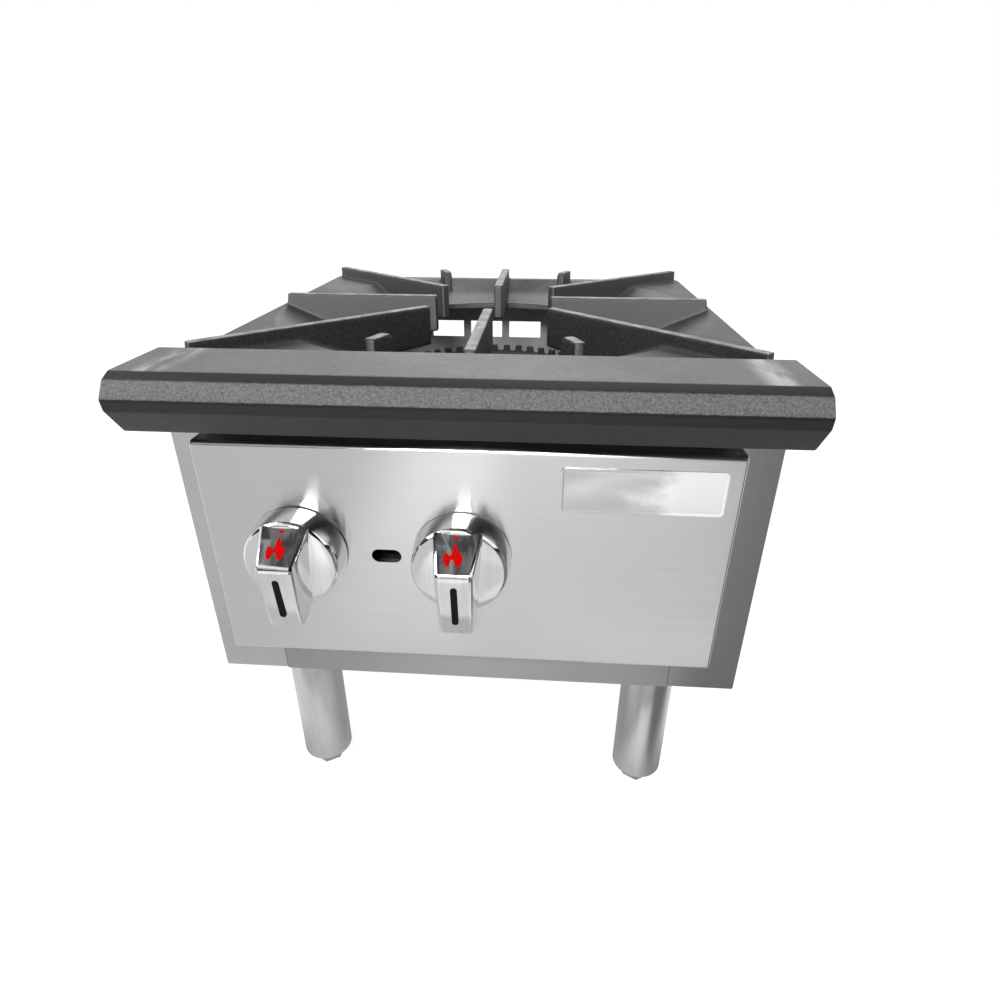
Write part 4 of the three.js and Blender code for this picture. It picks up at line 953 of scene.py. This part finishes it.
def addSkirt(name):
    # an open outline from the middle of its front to the middle of its back, spun about Y
    piece = addOutline(name, [Vector((radius, reach, 0)) * mm for radius, reach in knob["rows"]], "NOTHING")
    edit(piece, "EDGE")
    pick(piece, "edges", lambda edge: middle(edge).x < touch)
    bpy.ops.mesh.delete(type="EDGE")
    bpy.ops.mesh.select_all(action="SELECT")
    bpy.ops.mesh.spin(steps=knob["steps"], angle=2 * math.pi, center=(0, 0, 0), axis=(0, 1, 0))
    leave()
    outwards(piece)
    return piece


def addGrip(name):
    # the hull of its rows of corners, from the flame's face over the ridge to the pointer
    corners = [Vector((side * wide, reach, height)) * mm
               for wide, reach, height in knob["grip"] for side in (-1, 1)]
    piece = addOutline(name, corners)
    edit(piece, "VERT")
    bpy.ops.mesh.select_all(action="SELECT")
    bpy.ops.mesh.delete(type="ONLY_FACE")
    bpy.ops.mesh.select_all(action="SELECT")
    bpy.ops.mesh.convex_hull()
    bpy.ops.mesh.select_all(action="SELECT")
    bpy.ops.mesh.dissolve_limited(angle_limit=math.radians(1))
    leave()
    outwards(piece)
    # the two faces towards the cook are narrower than the ridge, with a soft shoulder between them
    edit(piece, "EDGE")
    reach, height = knob["chamferFrom"]
    pick(piece, "edges", lambda edge: abs(along(edge).x) < 0.5 and middle(edge).y < reach
         and min(end.co.z for end in edge.verts) > height)
    bpy.ops.mesh.bevel(offset=knob["chamfer"], segments=2, affect="EDGES")
    reach, height = knob["ridgeFrom"]
    pick(piece, "edges", lambda edge: abs(along(edge).x) > 0.9 and middle(edge).y < reach
         and middle(edge).z > height)
    bpy.ops.mesh.bevel(offset=knob["ridge"], segments=4, affect="EDGES")
    leave()
    return piece


def onFace(upper, lower, outline, name):
    # lays a flat mark on a sloped face: its y runs up from the lower row's middle to the upper's
    top, foot = (Vector((0, reach, height)) * mm for wide, reach, height in (upper, lower))
    up = (top - foot).normalized()
    out = Vector((1, 0, 0)).cross(up)
    centre = (top + foot) / 2
    points = [centre + Vector((x, 0, 0)) + up * y + out * mark["proud"] for x, y in outline]
    piece = addOutline(name, points)
    edit(piece)
    bpy.ops.mesh.select_all(action="SELECT")
    inwards = -out * (mark["proud"] + mark["sunk"])
    bpy.ops.mesh.extrude_region_move(TRANSFORM_OT_translate={"value": inwards})
    leave()
    outwards(piece)
    return piece


def discOutline(x, y, radius, corners=20):
    turns = [2 * math.pi * step / corners for step in range(corners)]
    return [((x + math.cos(turn) * radius) * mm, (y + math.sin(turn) * radius) * mm) for turn in turns]


def barOutline(long, wide, steps=8):
    # a bar with round ends
    points = []
    for end in (1, -1):
        for step in range(steps + 1):
            turn = math.pi * step / steps
            points.append((end * math.cos(turn) * wide / 2,
                           end * (long / 2 - wide / 2 + math.sin(turn) * wide / 2)))
    return points


def roundCorners(piece):
    # rounds the corners of an outline, which are the edges square to its large faces
    edit(piece, "EDGE")
    sides = [face.normal.copy() for face in bmesh.from_edit_mesh(piece.data).faces if len(face.verts) > 4]
    pick(piece, "edges", lambda edge: abs(along(edge).dot(sides[0])) > 0.9)
    bpy.ops.mesh.bevel(offset=mark["corner"], segments=4, affect="EDGES")
    leave()


def makeKnob(side):
    node = f"knob_{side}"
    body = nodes[node]["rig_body"]
    place = Vector(joints[f"{side}_knob_turn"]["pos_m"])
    piece = addSkirt(f"{side}_knob_casting")
    roundEdges(piece, knob["edge"], 3, 12)
    grip = addGrip("grip")
    roundEdges(grip, knob["edge"], 3, 12)
    addOn(piece, grip)
    smooth(piece, 20)
    stand(moved(piece, place), node, finishes["chrome"])
    top, ridge, tip = knob["grip"][:3]
    flame = onFace(top, ridge, [(x * mm, y * mm) for x, y in mark["flame"]], f"{side}_knob_flame")
    roundCorners(flame)
    dot = onFace(top, ridge, discOutline(*mark["dot"]), "dot")
    dress(moved(joined(flame.name, [flame, dot]), place), redEnamel, body)
    bar = onFace(ridge, tip, barOutline(mark["lineLong"], mark["lineWide"]), f"{side}_knob_pointer")
    dress(moved(bar, place), blackEnamel, body)


for side in ("left", "right"):
    makeKnob(side)
print("knobs made")

# cast iron top: the landing rail and the grate

rail = {"edge": 1.6 * mm, "steps": 4}


def makeLandingRail():
    low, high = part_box("front_landing_rail")
    piece = copyOf("front_landing_rail", "landing_rail_casting")

    def sharp(edge):
        # the long edges across the front, and the outlines of both ends
        long = abs(along(edge).x) > 0.99 and edge.calc_length() > (high.x - low.x) / 2
        return long or all(abs(abs(end.co.x) - high.x) < near for end in edge.verts)

    edit(piece, "EDGE")
    pick(piece, "edges", sharp)
    bpy.ops.mesh.bevel(offset=rail["edge"], segments=rail["steps"], affect="EDGES", clamp_overlap=False)
    leave()
    smooth(piece, 25)
    stand(piece, "front_landing_rail", finishes["rail_iron"])


# how fine each casting's skin is, what share of its faces stays, and how often it is relaxed
castings = {"grate": (1.5 * mm, 0.42, 4), "ring": (1.1 * mm, 0.4, 2), "cap": (1.1 * mm, 0.4, 3)}


def castCopy(node, name, kind):
    # a voxel skin over the node, relaxed so that every corner has a cast fillet
    voxel, share, passes = castings[kind]
    piece = copyOf(node, name)
    modify(piece, "REMESH", mode="VOXEL", voxel_size=voxel)
    modify(piece, "SMOOTH", factor=0.5, iterations=passes)
    modify(piece, "DECIMATE", decimate_type="COLLAPSE", ratio=share)
    smooth(piece, 60)
    stand(piece, node, finishes[slotOf[node]])


makeLandingRail()
castCopy("top_grate", "grate_casting", "grate")
for ring in ("outer", "inner"):
    for kind in ("ring", "cap"):
        castCopy(f"{ring}_burner_{kind}", f"{ring}_{kind}_casting", kind)
print("iron castings made")

# legs: a round tube on a hex foot, which is screwed in on a threaded stud

leg = {"wall": 1.5 * mm, "edge": 0.8 * mm, "gap": 0.3 * mm, "studRadius": 6 * mm, "studEdge": 0.6 * mm,
       "sunk": 1 * mm, "plug": 8 * mm}
foot = {"top": 20 * mm, "bottom": 15 * mm, "edge": 1.1 * mm, "core": 4.3 * mm, "sunk": 1 * mm,
        "thread": 5 * mm, "root": 4.2 * mm, "start": 0.2 * mm, "pitch": 1.5 * mm, "steps": 14}


def makeLeg(place):
    node = "leg_" + place
    low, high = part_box(node)
    centre = (low + high) / 2
    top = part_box("left_side_panel")[0].z - leg["gap"]
    piece = addUpright(f"{place}_leg_tube", (high.x - low.x) / 2, centre, low.z, top)
    # its lower end is bored up to the plug that holds the foot
    edit(piece)
    pick(piece, "faces", lambda face: face.normal.z < -0.9)
    bpy.ops.mesh.inset(thickness=leg["wall"], depth=0)
    bpy.ops.mesh.extrude_region_move(TRANSFORM_OT_translate={"value": (0, 0, leg["plug"])})
    leave()
    roundEdges(piece, leg["edge"])
    stud = addUpright("stud", leg["studRadius"], centre, top - leg["sunk"], high.z, sides=32)
    roundEdges(stud, leg["studEdge"], 2)
    piece = joined(piece.name, [piece, stud])
    smooth(piece)
    stand(piece, node, finishes["plated_leg"])


def makeFoot(place):
    node = "foot_" + place
    low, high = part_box(node)
    centre = (low + high) / 2
    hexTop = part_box("leg_" + place)[0].z - leg["gap"]
    piece = addUpright(f"{place}_hex_foot", foot["bottom"], centre, low.z, hexTop, sides=6, tip=foot["top"])
    roundEdges(piece, foot["edge"])
    core = addUpright("core", foot["core"], centre, hexTop - foot["sunk"], high.z, sides=24)
    # one turn of the thread is a ridge between two points inside the core
    ridge = ((foot["root"], 0), (foot["thread"], 0.45), (foot["root"], 0.9))
    thread = addOutline("thread", [(radius, 0, foot["pitch"] * share) for radius, share in ridge], "NOTHING")
    turns = int((high.z - hexTop) / foot["pitch"]) - 1
    modify(thread, "SCREW", axis="Z", angle=2 * math.pi, screw_offset=foot["pitch"], iterations=turns,
           steps=foot["steps"], render_steps=foot["steps"], use_normal_calculate=True)
    moved(thread, Vector((centre.x, centre.y, hexTop + foot["start"])))
    piece = joined(piece.name, [piece, core, thread])
    outwards(piece)
    smooth(piece)
    stand(piece, node, footSteel)


for place in ("front_left", "front_right", "rear_left", "rear_right"):
    makeLeg(place)
    makeFoot(place)
print("legs and feet made")

# the other nodes keep their shape, and live modifiers round their edges

edgeOf = {"coated_steel": 0.3 * mm, "stainless": 0.3 * mm, "brass": 0.4 * mm, "zinc": 0.3 * mm,
          "black_pipe": 0.5 * mm, "burner_iron": 1.0 * mm, "aluminium": 0.2 * mm}


def soften(node):
    piece = nodes[node]
    for place in piece.material_slots:
        place.material = dullAndShadedSheets.get(node, finishes[slotOf[node]])
    if piece.hide_render:
        return
    piece.data.polygons.foreach_set("use_smooth", [True] * len(piece.data.polygons))
    welded = piece.modifiers.new("weld", "WELD")
    welded.merge_threshold = touch
    whole = piece.modifiers.new("whole", "DECIMATE")
    whole.decimate_type = "DISSOLVE"
    whole.angle_limit = math.radians(1)
    edges = piece.modifiers.new("edges", "BEVEL")
    edges.width = edgeOf[slotOf[node]]
    edges.segments = 2
    edges.limit_method = "ANGLE"
    edges.angle_limit = math.radians(30)
    flat = piece.modifiers.new("flat", "WEIGHTED_NORMAL")
    flat.weight = 50


for node in sorted(nodes):
    soften(node)
print("kept nodes finished")
